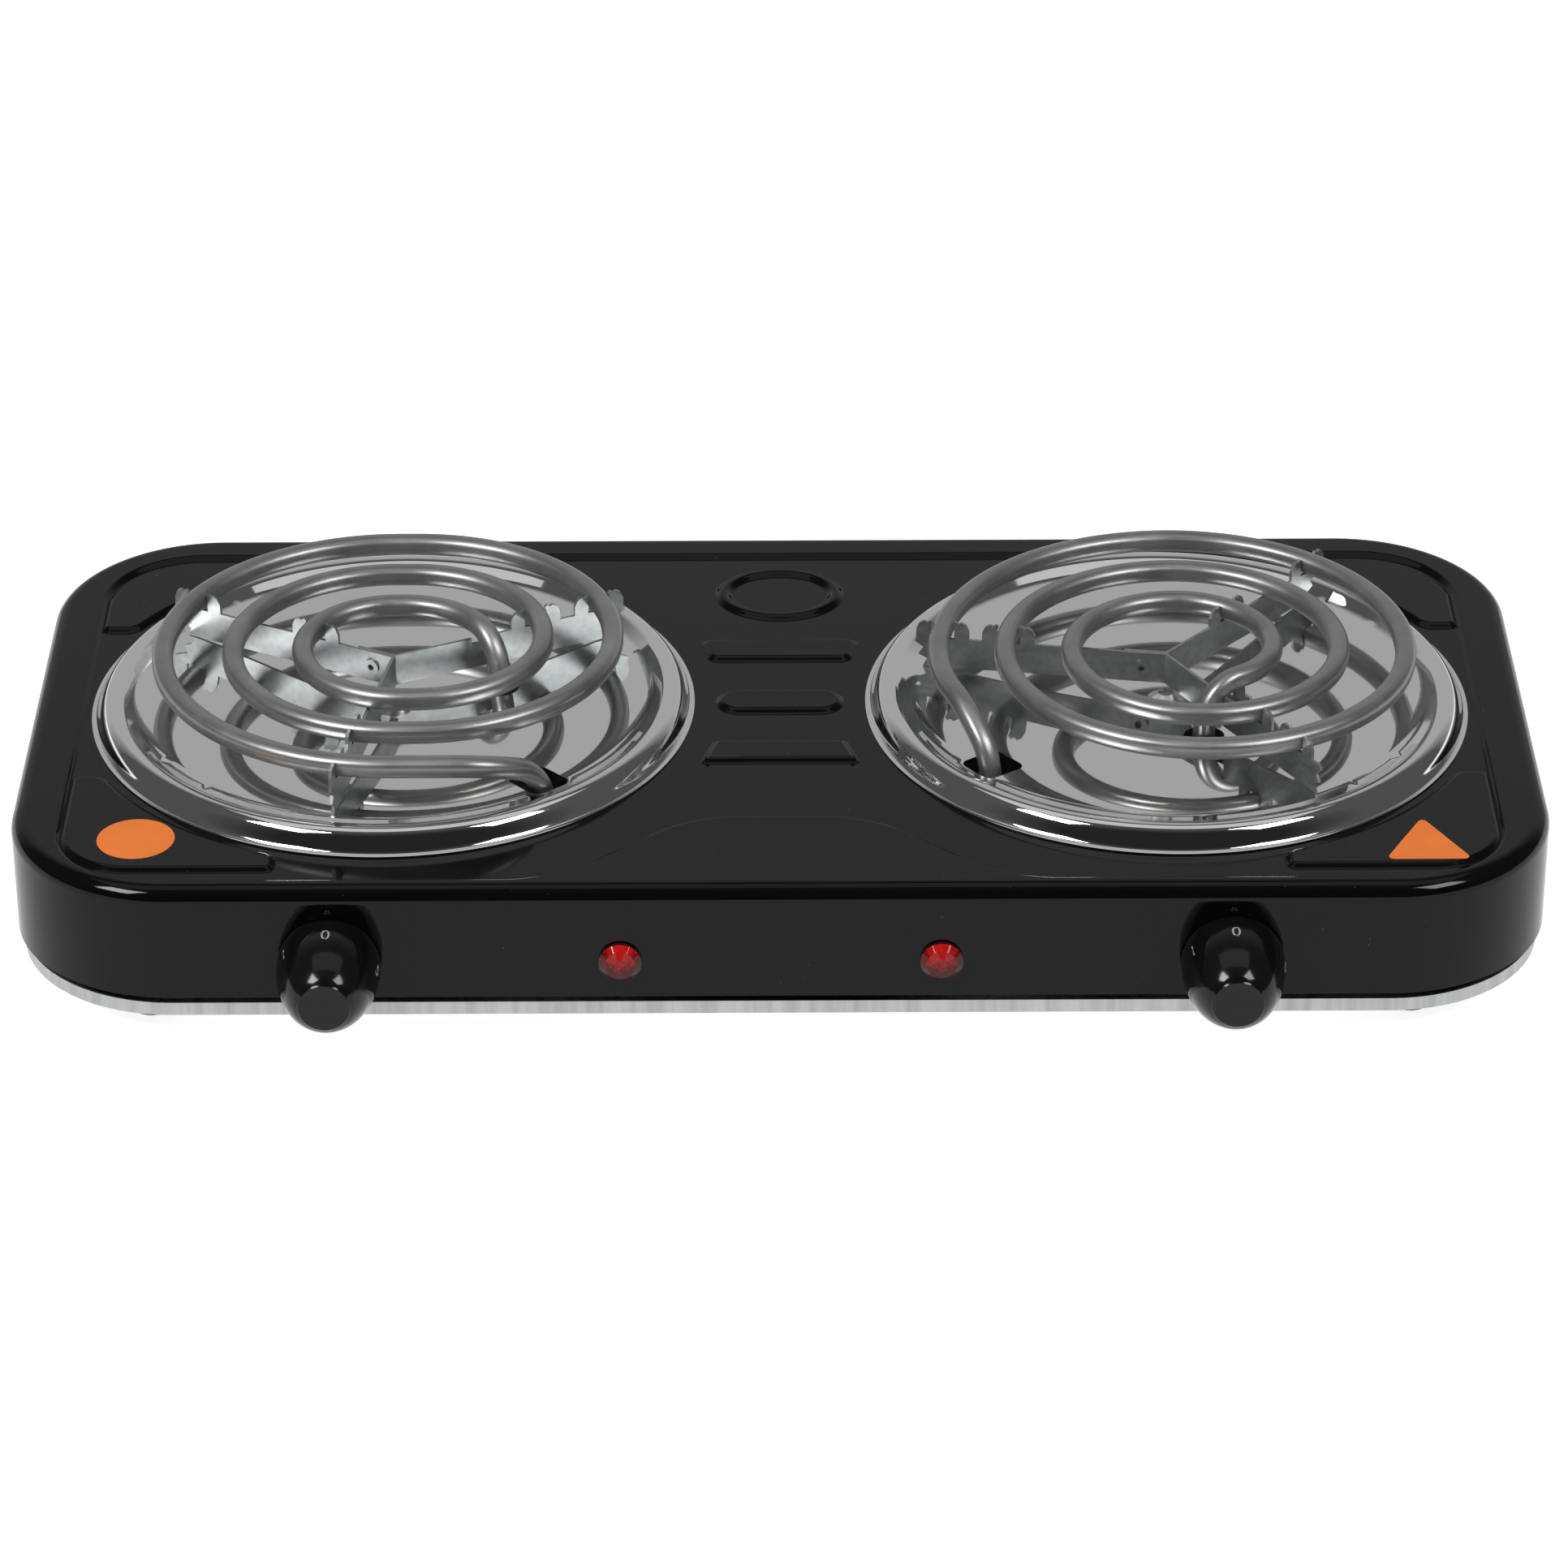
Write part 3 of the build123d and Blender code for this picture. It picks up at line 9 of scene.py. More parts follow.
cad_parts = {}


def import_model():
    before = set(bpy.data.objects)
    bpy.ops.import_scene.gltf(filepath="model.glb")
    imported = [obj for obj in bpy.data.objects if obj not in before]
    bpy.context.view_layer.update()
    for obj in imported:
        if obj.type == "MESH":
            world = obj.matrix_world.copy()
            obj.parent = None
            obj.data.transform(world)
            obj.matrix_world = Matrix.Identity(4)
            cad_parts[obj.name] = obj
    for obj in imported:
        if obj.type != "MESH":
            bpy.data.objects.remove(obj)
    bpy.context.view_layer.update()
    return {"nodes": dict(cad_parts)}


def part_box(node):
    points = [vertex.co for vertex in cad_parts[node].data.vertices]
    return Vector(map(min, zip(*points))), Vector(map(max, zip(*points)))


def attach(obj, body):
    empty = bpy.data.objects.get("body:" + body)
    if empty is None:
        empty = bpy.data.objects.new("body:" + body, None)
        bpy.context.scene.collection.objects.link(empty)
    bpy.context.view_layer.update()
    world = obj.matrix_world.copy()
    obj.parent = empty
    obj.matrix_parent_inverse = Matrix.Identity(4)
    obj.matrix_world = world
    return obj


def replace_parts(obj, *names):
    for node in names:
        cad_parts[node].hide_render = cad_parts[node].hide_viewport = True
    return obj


# The looks of a two-burner electric hot plate. Sizes are in millimetres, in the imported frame, except where a
# comment says metres. Meshes are made in metres.

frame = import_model()
MM = 0.001
SIDES = {"left": -1, "right": 1}


def box_mm(node):
    """Lowest and highest corner of a CAD node, in millimetres."""
    low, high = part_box(node)
    return np.array(low) / MM, np.array(high) / MM


# --- Places read from the frame ---
housing_low, housing_high = box_mm("housing")
pan_low, pan_high = box_mm("drip_pan_right")
knob_low, knob_high = box_mm("knob_right")
coil_high = box_mm("coil_left")[1]

# --- Housing sizes ---
body_width = housing_high[0] - housing_low[0]
rear_y = housing_high[1]
INDEX_RISE = 0.5  # of the nub over each knob, which stands in front of the panel
front_y = housing_low[1] + INDEX_RISE
body_depth = rear_y - front_y
body_y = (front_y + rear_y) / 2
skirt_bottom = housing_low[2]
SHEET = 0.8
SKIRT_HEIGHT = 36.5
rim_top = skirt_bottom + SKIRT_HEIGHT
CORNER_RADIUS = 50.0
EDGE_RADIUS = 5.0
RECESS_DEPTH = 1.5
floor_top = rim_top - RECESS_DEPTH
RIM_SIDE, RIM_FRONT, RIM_REAR = 14.8, 6.5, 13.0
RECESS_RADIUS = 30.0
PLATEAU_REACH = 35.8
PLATEAU_REAR_WIDTH, PLATEAU_FRONT_WIDTH = 52.0, 132.0
PLATEAU_REAR_ROUND, PLATEAU_FRONT_ROUND = 8.0, 10.0
PAD_SIDE_MARGIN, PAD_FRONT_MARGIN, PAD_REAR_MARGIN = 2.5, 7.8, 9.3
FRONT_PAD, REAR_PAD = (62.0, 53.0), (40.0, 39.0)
FRONT_PAD_ROUND, REAR_PAD_ROUND = 22.0, 25.0
PAD_CORNER_ROUND = 3.0
PAD_PAN_MARGIN = 4.5
PAD_VIEW_SHARE = 0.7  # of a pad's round corner, from its sides to a point that sees its whole edge
RING_SETBACK = 72.5  # behind the middle of the housing
RING_OUTER, RING_INNER = (20.2, 17.2), (15.2, 12.2)  # half axes of the oval ring's two walls
REAR_BAR = (46.0, 41.0, 10.6, 35.2)  # width at the rear and at the front, depth, setback
MIDDLE_BAR = (36.0, 11.6, 2.5)  # width, depth, setback
FRONT_BAR = (37.0, 45.0, 10.2, -28.6)
BAR_ROUND, FRONT_BAR_ROUND = 3.0, 1.2
PRESS_RADIUS = 0.65  # how far the rounding of a pressed wall reaches beyond its 45 degree part
WALL_REACH = RECESS_DEPTH + PRESS_RADIUS
WALL_STEPS = 8  # rows of faces down a pressed wall
EDGE_STEPS = 10  # rows of faces round the rolled edge
RING_SIDES = 96
HOLE_MARGIN = 8.0  # from the pan's lip to the housing's hole, all of it under the pan

# --- Drip pans ---
pan_radius = (pan_high[0] - pan_low[0]) / 2
pan_x = (pan_high[0] + pan_low[0]) / 2
pan_y = (pan_high[1] + pan_low[1]) / 2
CROWN_HEIGHT = 6.3
lip_top = pan_high[2] - CROWN_HEIGHT
PAN_SHEET = 0.5
PAN_CENTRES = {name: (side * pan_x, pan_y) for name, side in SIDES.items()}

# --- Controls ---
knob_x = (knob_low[0] + knob_high[0]) / 2
control_z = (knob_low[2] + knob_high[2]) / 2


# --- Node materials ---


class Shader:
    """Node material with a Principled shader, and short ways to add what its surfaces need."""

    def __init__(self, name, **inputs):
        self.material = bpy.data.materials.new(name)
        self.material.use_nodes = True
        self.tree = self.material.node_tree
        self.surface = self.tree.nodes["Principled BSDF"]
        for key, value in inputs.items():
            self.surface.inputs[key.replace("_", " ").title().replace("Ior", "IOR")].default_value = value
        self.coordinates = self.tree.nodes.new("ShaderNodeTexCoord")

    def node(self, kind, **settings):
        made = self.tree.nodes.new(kind)
        for key, value in settings.items():
            setattr(made, key, value)
        return made

    def link(self, start, end):
        self.tree.links.new(start, end)

    def mapped(self, scale, source="Object"):
        """Coordinates times scale, one number or three, from the object's metres or from its UV map."""
        mapping = self.node("ShaderNodeMapping")
        mapping.inputs["Scale"].default_value = (scale,) * 3 if isinstance(scale, int) else scale
        self.link(self.coordinates.outputs[source], mapping.inputs["Vector"])
        return mapping.outputs["Vector"]

    def noise(self, scale, detail=3.0, roughness=0.55, source="Object"):
        made = self.node("ShaderNodeTexNoise")
        made.inputs["Scale"].default_value = 1.0
        made.inputs["Detail"].default_value = detail
        made.inputs["Roughness"].default_value = roughness
        self.link(self.mapped(scale, source), made.inputs["Vector"])
        return made.outputs["Fac"]

    def cells(self, scale):
        """Distance to the middle of random cells."""
        made = self.node("ShaderNodeTexVoronoi")
        made.inputs["Scale"].default_value = 1.0
        self.link(self.mapped(scale), made.inputs["Vector"])
        return made.outputs["Distance"]

    def ramp(self, factor, stops):
        """A colour ramp over (place, value) or (place, colour) stops."""
        made = self.node("ShaderNodeValToRGB")
        elements = made.color_ramp.elements
        while len(elements) < len(stops):
            elements.new(0.5)
        for element, (place, value) in zip(elements, stops):
            element.position = place
            colour = (value,) * 3 if isinstance(value, float) else value
            element.color = (*colour, 1)
        self.link(factor, made.inputs["Fac"])
        return made.outputs["Color"]

    def bump(self, height, strength, distance=0.0002):
        made = self.node("ShaderNodeBump")
        made.inputs["Strength"].default_value = strength
        made.inputs["Distance"].default_value = distance
        self.link(height, made.inputs["Height"])
        self.link(made.outputs["Normal"], self.surface.inputs["Normal"])

    def feed(self, output, name):
        self.link(output, self.surface.inputs[name])


def enamel_material():
    """Black gloss enamel: nearly black, with faint orange peel and dust."""
    shader = Shader("black_enamel", ior=1.32, roughness=0.07)
    peel = shader.noise(260, detail=2.0)
    shader.bump(peel, 0.05, 0.0001)
    patches = shader.noise(14, detail=4.0)
    shader.feed(shader.ramp(patches, [(0.3, 0.055), (0.7, 0.10)]), "Roughness")
    dust = shader.noise(900, detail=1.0)
    shader.feed(shader.ramp(dust, [(0.0, 0.0022), (0.80, 0.0026), (0.83, 0.08)]), "Base Color")
    return shader.material


def chrome_material():
    """Polished chrome plate with faint wiping marks."""
    shader = Shader("chrome", metallic=1.0, base_color=(0.80, 0.80, 0.795, 1))
    haze = shader.noise(30, detail=5.0)
    shader.feed(shader.ramp(haze, [(0.35, 0.025), (0.75, 0.07)]), "Roughness")
    waviness = shader.noise(22, detail=1.0)
    shader.bump(waviness, 0.06, 0.0006)
    return shader.material


def sheath_material():
    """Oxidised satin sheath of the elements: dark grey with lengthwise drawing marks."""
    shader = Shader("element_sheath", metallic=0.85)
    streaks = shader.noise((3, 90, 1), detail=6.0, roughness=0.65, source="UV")
    blotches = shader.noise(55, detail=4.0)
    mix = shader.node("ShaderNodeMix", data_type="FLOAT")
    mix.inputs["Factor"].default_value = 0.45
    shader.link(streaks, mix.inputs["A"])
    shader.link(blotches, mix.inputs["B"])
    greys = [(0.3, (0.22, 0.22, 0.218)), (0.55, (0.34, 0.34, 0.337)), (0.72, (0.46, 0.46, 0.457))]
    shader.feed(shader.ramp(mix.outputs["Result"], greys), "Base Color")
    shader.feed(shader.ramp(mix.outputs["Result"], [(0.3, 0.30), (0.7, 0.44)]), "Roughness")
    shader.bump(streaks, 0.25, 0.00008)
    return shader.material


def galvanised_material():
    """Bright galvanised strip with a soft spangle and rolling marks."""
    shader = Shader("galvanised_strip", metallic=0.95)
    spangle = [(0.0, (0.31, 0.33, 0.33)), (0.7, (0.37, 0.395, 0.395)), (1.0, (0.42, 0.45, 0.445))]
    shader.feed(shader.ramp(shader.cells(420), spangle), "Base Color")
    marks = shader.noise((35, 35, 320), detail=3.0)
    shader.feed(shader.ramp(marks, [(0.3, 0.30), (0.7, 0.42)]), "Roughness")
    shader.bump(marks, 0.08, 0.00004)
    return shader.material


STREAK_SHADE, CLOUD_SHADE = 0.72, 0.88  # the darkest of a surface, as a share of its colour


def steel_material(name, colour, roughness, marks=(8, 8, 700)):
    """Plated or bare sheet metal with drawing marks."""
    shader = Shader(name, metallic=0.9)
    streaks = shader.noise(marks, detail=5.0, roughness=0.6)
    dark = tuple(STREAK_SHADE * channel for channel in colour)
    shader.feed(shader.ramp(streaks, [(0.32, dark), (0.62, colour)]), "Base Color")
    shader.feed(shader.ramp(streaks, [(0.3, roughness), (0.7, roughness + 0.14)]), "Roughness")
    shader.bump(streaks, 0.12, 0.00005)
    return shader.material


def plastic_material(name, colour, roughness, grain=0.04, **inputs):
    """A moulded part: one colour that varies a little, with a faint surface grain."""
    shader = Shader(name, **inputs)
    cloud = shader.noise(60, detail=3.0)
    dark = tuple(CLOUD_SHADE * channel for channel in colour)
    shader.feed(shader.ramp(cloud, [(0.3, dark), (0.7, colour)]), "Base Color")
    shader.feed(shader.ramp(cloud, [(0.3, roughness), (0.7, roughness * 1.25)]), "Roughness")
    shader.bump(shader.noise(1500, detail=2.0), grain, 0.00005)
    return shader.material


def lens_material():
    """Clear red lens with a painted glow and painted reflection: its colour, fed in as emission too, paints a
    lit reflector behind it, bright where one looks straight in and nearly black at its edge.
    """
    shader = Shader("lens_red", ior=1.38, roughness=0.06)
    facing = shader.node("ShaderNodeLayerWeight")
    facing.inputs["Blend"].default_value = 0.5
    depth = shader.node("ShaderNodeMath", operation="MULTIPLY_ADD")
    depth.inputs[1].default_value = 0.16  # how much the reflector's facets break up the painted glow
    shader.link(shader.cells(900), depth.inputs[0])
    shader.link(facing.outputs["Facing"], depth.inputs[2])
    stops = [
        (0.06, (0.42, 0.008, 0.008)), (0.18, (0.26, 0.006, 0.006)), (0.28, (0.08, 0.004, 0.004)),
        (0.55, (0.03, 0.003, 0.003)), (0.9, (0.012, 0.003, 0.003)),
    ]
    # Painted glow: this colour falls from bright red face-on to nearly black at the edge, and is both base
    # colour and emission.
    colour = shader.ramp(depth.outputs["Value"], stops)
    shader.feed(colour, "Base Color")
    shader.feed(colour, "Emission Color")
    shader.surface.inputs["Emission Strength"].default_value = 0.25
    return shader.material


ENAMEL = enamel_material()
CHROME = chrome_material()
SHEATH = sheath_material()
GALVANISED = galvanised_material()
TRAY_STEEL = steel_material("tray_steel", (0.60, 0.615, 0.61), 0.34, marks=(260, 260, 5))
PLATED = steel_material("plated_steel", (0.62, 0.62, 0.60), 0.25)
BRASS = steel_material("brass", (0.72, 0.52, 0.24), 0.28)
KNOB_BLACK = plastic_material("knob_black", (0.005, 0.005, 0.005), 0.12, ior=1.40)
RUBBER = plastic_material("black_rubber", (0.018, 0.018, 0.018), 0.62, grain=0.3)
NYLON = plastic_material("nylon", (0.72, 0.70, 0.64), 0.45)
CERAMIC = plastic_material("ceramic", (0.80, 0.78, 0.72), 0.50, grain=0.15)
WHITE_BLOCK = plastic_material("white_block", (0.78, 0.78, 0.74), 0.40)
LENS_RED = lens_material()

MATERIAL_NODES = [
    (ENAMEL, ["housing"]),
    (TRAY_STEEL, ["base_plate"]),
    (CHROME, ["drip_pan"]),
    (SHEATH, ["coil"]),
    (GALVANISED, ["support_strip", "support_arm", "support_rivets"]),
    (PLATED, ["burner_bridge", "housing_brackets", "base_screws", "centre_screws", "centre_nuts"]),
    (PLATED, ["thermostat_plate", "thermostat_screws", "thermostat_shaft", "earth_screw", "earth_nut"]),
    (BRASS, ["thermostat_leaf", "terminal_screws", "element_end_pins"]),
    (KNOB_BLACK, ["knob"]),
    (LENS_RED, ["lamp_lens"]),
    (NYLON, ["lamp_body"]),
    (CERAMIC, ["thermostat_body", "element_end_beads"]),
    (WHITE_BLOCK, ["terminal_block"]),
    (RUBBER, ["feet", "cord_bush"]),
]
node_materials = {node: material for material, nodes in MATERIAL_NODES for node in nodes}

for node, part in frame["nodes"].items():
    part.data.materials.clear()
    part.data.materials.append(node_materials[node.removesuffix("_left").removesuffix("_right")])


# --- Meshes ---


SMOOTH_LIMIT = radians(35)  # a face that is steeper than this against the true surface stays flat
JOIN_DIGITS = 4  # points whose millimetres agree to so many decimals are one
TINY = 1e-6


class Sheet:
    """A mesh under construction whose points carry the normals of the true surface."""

    def __init__(self):
        self.points, self.normals, self.faces, self.index = [], [], [], {}

    def point(self, place, normal):
        """The number of the point at a place, which is added with its normal if it is new."""
        key = tuple(round(float(v), JOIN_DIGITS) for v in place)
        if key not in self.index:
            self.index[key] = len(self.points)
            self.points.append(Vector(place))
            self.normals.append(Vector(normal).normalized())
        return self.index[key]

    def loop(self, outline, normals, z):
        """Adds one closed row of points at one height and returns their numbers."""
        return [self.point((x, y, z), n) for (x, y), n in zip(outline, normals)]

    def bands(self, rows):
        """Quads between closed rows. They face out when each row lies outside or under the one before."""
        for upper, lower in zip(rows, rows[1:]):
            count = len(upper)
            for i in range(count):
                j = (i + 1) % count
                self.faces.append((upper[i], lower[i], lower[j], upper[j]))

    def flat(self, outer, holes, z):
        """Fills the level region inside one outline and outside the others, facing up."""
        found, faces = filled(outer, holes)
        for face in faces:
            self.faces.append([self.point((*found[i], z), (0, 0, 1)) for i in face])

    def thicken(self, amount):
        """Adds the far side of the sheet, and walls along its open edges."""
        count = len(self.points)
        self.points += [p - n * amount for p, n in zip(self.points, self.normals)]
        self.normals += [-n for n in self.normals]
        directed = {(face[i], face[(i + 1) % len(face)]) for face in self.faces for i in range(len(face))}
        near = list(self.faces)
        self.faces += [tuple(i + count for i in reversed(face)) for face in near]
        self.faces += [(b, a, a + count, b + count) for a, b in directed if (b, a) not in directed]

    def made(self, name, material, body="root", slot=None):
        """Makes the object, shaded as the true surface."""
        mesh = bpy.data.meshes.new(name)
        mesh.from_pydata([p * MM for p in self.points], [], self.faces)
        mesh.validate()
        mesh.update()
        mesh.polygons.foreach_set("use_smooth", [True] * len(mesh.polygons))
        corner_normals = []
        for face in mesh.polygons:
            for corner in face.loop_indices:
                normal = self.normals[mesh.loops[corner].vertex_index]
                steep = normal.angle(face.normal, pi) > SMOOTH_LIMIT
                corner_normals.append(face.normal.copy() if steep else normal)
        mesh.normals_split_custom_set(corner_normals)
        return finished(name, mesh, material, body)


def finished(name, mesh, material, body):
    """Makes the piece of a mesh, gives it its material, and rides it on its body."""
    piece = bpy.data.objects.new(name, mesh)
    bpy.context.scene.collection.objects.link(piece)
    mesh.materials.append(material)
    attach(piece, body)
    return piece


def inside(point, outline):
    """Whether a point lies inside a closed outline, by crossings."""
    x, y = point
    a = np.asarray(outline, float)
    b = np.roll(a, -1, axis=0)
    crosses = (a[:, 1] > y) != (b[:, 1] > y)
    a, b = a[crosses], b[crosses]
    at = a[:, 0] + (y - a[:, 1]) * (b[:, 0] - a[:, 0]) / (b[:, 1] - a[:, 1])
    return int((at > x).sum()) % 2 == 1


def turns_left(corners):
    """Whether the corners of a level face run anticlockwise."""
    area = 0.0
    for a, b in zip(corners, corners[1:] + corners[:1]):
        area += a[0] * b[1] - b[0] * a[1]
    return area > 0


def filled(outer, holes, net=()):
    """Triangulates the region inside one outline and outside the others, with the points of a net in it."""
    coords, edges = [], []
    for outline in [outer, *holes]:
        first, count = len(coords), len(outline)
        coords += [Vector((float(x), float(y))) for x, y in outline]
        edges += [(first + i, first + (i + 1) % count) for i in range(count)]
    found, _, triangles, *_ = delaunay_2d_cdt([*coords, *net], edges, [], 0, TINY)
    faces = []
    for face in triangles:
        middle = sum((found[i] for i in face), Vector((0, 0))) / len(face)
        if inside(middle, outer) and not any(inside(middle, hole) for hole in holes):
            faces.append(face if turns_left([found[i] for i in face]) else face[::-1])
    return found, faces


def circle_line(centre, radius, sides):
    """Points round a circle."""
    angles = np.linspace(0, 2 * pi, sides, endpoint=False)
    return np.stack([centre[0] + radius * np.cos(angles), centre[1] + radius * np.sin(angles)], 1)


# --- Outlines as distance fields: negative inside, exact near the edge ---


def rounded_box(x, y, centre, size, radii):
    """Distance to a rectangle. radii is one number, or four from the corner at +x +y round to +x -y."""
    px, py = x - centre[0], y - centre[1]
    if isinstance(radii, (int, float)):
        radii = (radii,) * 4
    right = np.where(py > 0, radii[0], radii[3])
    left = np.where(py > 0, radii[1], radii[2])
    r = np.where(px > 0, right, left)
    qx, qy = np.abs(px) - size[0] / 2 + r, np.abs(py) - size[1] / 2 + r
    return np.minimum(np.maximum(qx, qy), 0) + np.hypot(np.maximum(qx, 0), np.maximum(qy, 0)) - r


def circle(x, y, centre, radius):
    """Distance to a circle."""
    return np.hypot(x - centre[0], y - centre[1]) - radius


def half_plane(x, y, start, end):
    """Distance to the line from start to end, positive on its right."""
    dx, dy = end[0] - start[0], end[1] - start[1]
    length = sqrt(dx * dx + dy * dy)
    return ((x - start[0]) * dy - (y - start[1]) * dx) / length


def meet(a, b, radius):
    """What lies in both fields, with the corner between them rounded."""
    corner = np.hypot(np.maximum(a + radius, 0), np.maximum(b + radius, 0))
    return np.minimum(np.maximum(a, b), -radius) + corner


def recess_field(x, y):
    """The recess in the top: a rounded rectangle less the plateau at the middle of its front."""
    width, depth = body_width - 2 * RIM_SIDE, body_depth - RIM_FRONT - RIM_REAR
    front = front_y + RIM_FRONT
    field = rounded_box(x, y, (0, front + depth / 2), (width, depth), RECESS_RADIUS)
    rear = front + PLATEAU_REACH
    narrow, wide = PLATEAU_REAR_WIDTH / 2, PLATEAU_FRONT_WIDTH / 2
    slope = half_plane(np.abs(x), y, (narrow, rear), (wide, front))
    plateau = meet(-slope, y - rear, PLATEAU_REAR_ROUND)
    return meet(field, -plateau, PLATEAU_FRONT_ROUND)


def pad_field(side, size, outer_round, at_rear):
    """A corner pad: a rectangle with one round corner, cut back round the drip pan. Measured at its foot.

    Like the other fields of raised forms, it comes with a point that sees its whole edge.
    """
    width, depth = (length + 2 * RECESS_DEPTH for length in size)
    outer_x = body_width / 2 - RIM_SIDE - PAD_SIDE_MARGIN + RECESS_DEPTH
    front_edge = front_y + RIM_FRONT + PAD_FRONT_MARGIN - RECESS_DEPTH
    rear_edge = rear_y - RIM_REAR - PAD_REAR_MARGIN + RECESS_DEPTH
    middle = (side * (outer_x - width / 2), rear_edge - depth / 2 if at_rear else front_edge + depth / 2)
    right_corner, left_corner = (0, 1) if at_rear else (3, 2)
    radii = [PAD_CORNER_ROUND] * 4
    radii[right_corner if side > 0 else left_corner] = outer_round

    def field(x, y):
        rectangle = rounded_box(x, y, middle, (width, depth), radii)
        pan = circle(x, y, (side * pan_x, pan_y), pan_radius + PAD_PAN_MARGIN - RECESS_DEPTH)
        return meet(rectangle, -pan, PAD_CORNER_ROUND)

    inset = outer_round * PAD_VIEW_SHARE
    return field, (side * (outer_x - inset), rear_edge - inset if at_rear else front_edge + inset)


def bar_field(rear_width, front_width, depth, setback, rounding):
    """A bar between the pans: a trapezium, measured at its foot."""
    rear, front = body_y + setback + depth / 2 + RECESS_DEPTH, body_y + setback - depth / 2 - RECESS_DEPTH
    back, fore = rear_width / 2 + RECESS_DEPTH, front_width / 2 + RECESS_DEPTH

    def field(x, y):
        ends = half_plane(np.abs(x), y, (back, rear), (fore, front))
        across = np.abs(y - (rear + front) / 2) - (rear - front) / 2
        return meet(-ends, across, rounding)

    return field, (0, (rear + front) / 2)


def slot_field(width, depth, setback):
    """The middle bar, with half-round ends."""
    size = (width + 2 * RECESS_DEPTH, depth + 2 * RECESS_DEPTH)
    centre = (0, body_y + setback)

    def field(x, y):
        return rounded_box(x, y, centre, size, size[1] / 2)

    return field, centre


SEARCH_STEP = 1.0
HALVINGS = 40
STRAIGHT = 0.012  # the most that a traced edge leaves its chords
LONGEST_CHORD = 12.0
NUDGE = 0.01  # for slopes by difference


def traced(field, centre, rays=1440):
    """The field's edge as seen from a point inside it, with no more points than its bends need."""
    angles = np.linspace(0, 2 * pi, rays, endpoint=False)
    directions = np.stack([np.cos(angles), np.sin(angles)], 1)
    reach = np.zeros(rays)
    alive = np.ones(rays, bool)
    while alive.any():
        ahead = reach + SEARCH_STEP
        x, y = centre[0] + directions[:, 0] * ahead, centre[1] + directions[:, 1] * ahead
        alive &= field(x, y) < 0
        reach = np.where(alive, ahead, reach)
    low, high = reach.copy(), reach + SEARCH_STEP
    for _ in range(HALVINGS):
        middle = (low + high) / 2
        x, y = centre[0] + directions[:, 0] * middle, centre[1] + directions[:, 1] * middle
        within = field(x, y) < 0
        low, high = np.where(within, middle, low), np.where(within, high, middle)
    dense = np.array(centre) + directions * low[:, None]
    kept, last = [0], 0
    for i in range(2, rays + 1):
        chord = dense[i % rays] - dense[last]
        span = dense[last + 1:i] - dense[last]
        off = np.abs(span[:, 0] * chord[1] - span[:, 1] * chord[0]) / (np.hypot(*chord) + 1e-9)
        if off.max() > STRAIGHT or np.hypot(*chord) > LONGEST_CHORD:
            last = i - 1
            kept.append(last)
    return dense[kept]


def field_normals(field, outline):
    """Unit normals of the outline, pointing out of the region."""
    x, y = outline[:, 0], outline[:, 1]
    gx = field(x + NUDGE, y) - field(x - NUDGE, y)
    gy = field(x, y + NUDGE) - field(x, y - NUDGE)
    length = np.hypot(gx, gy)
    return np.stack([gx / length, gy / length], 1)


def pressed_wall(sheet, outline, normals, top_offset, foot_offset):
    """An S-shaped wall from the rim's level down to the recess, with offsets outward from the outline.

    Returns the lines of its rows, from top to foot.
    """
    rows, lines = [], []
    for step in range(WALL_STEPS + 1):
        u = step / WALL_STEPS
        share = u * u * (3 - 2 * u)
        slope = 6 * u * (1 - u) * (rim_top - floor_top) / (foot_offset - top_offset)
        line = outline + normals * (top_offset + u * (foot_offset - top_offset))
        tilted = [(nx * slope, ny * slope, 1) for nx, ny in normals]
        rows.append(sheet.loop(line, tilted, rim_top + share * (floor_top - rim_top)))
        lines.append(line)
    sheet.bands(rows if foot_offset > top_offset else rows[::-1])
    return lines


def rolled_edge(sheet):
    """The skirt and its rolled upper edge. Returns the line where the level rim starts."""
    def field(x, y):
        return rounded_box(x, y, (0, body_y), (body_width, body_depth), CORNER_RADIUS)

    outer = traced(field, (0, body_y))
    outward = field_normals(field, outer)
    rows = []
    for step in range(EDGE_STEPS + 1):
        angle = pi / 2 * step / EDGE_STEPS
        line = outer - outward * EDGE_RADIUS * (1 - sin(angle))
        tilted = [(nx * sin(angle), ny * sin(angle), cos(angle)) for nx, ny in outward]
        rows.append(sheet.loop(line, tilted, rim_top - EDGE_RADIUS * (1 - cos(angle))))
    level = [(nx, ny, 0) for nx, ny in outward]
    rows.append(sheet.loop(outer, level, (rim_top + skirt_bottom) / 2))
    rows.append(sheet.loop(outer, level, skirt_bottom))
    sheet.bands(rows)
    return outer - outward * EDGE_RADIUS


def raised_forms(sheet):
    """The corner pads and the bars between the pans, with their tops. Returns the lines of their feet."""
    shapes = [pad_field(side, FRONT_PAD, FRONT_PAD_ROUND, False) for side in SIDES.values()]
    shapes += [pad_field(side, REAR_PAD, REAR_PAD_ROUND, True) for side in SIDES.values()]
    shapes += [bar_field(*REAR_BAR, BAR_ROUND), slot_field(*MIDDLE_BAR)]
    shapes.append(bar_field(*FRONT_BAR, FRONT_BAR_ROUND))
    feet = []
    for field, centre in shapes:
        outline = traced(field, centre)
        lines = pressed_wall(sheet, outline, field_normals(field, outline), -WALL_REACH, PRESS_RADIUS)
        sheet.flat(lines[0], [], rim_top)
        feet.append(lines[-1])
    return feet


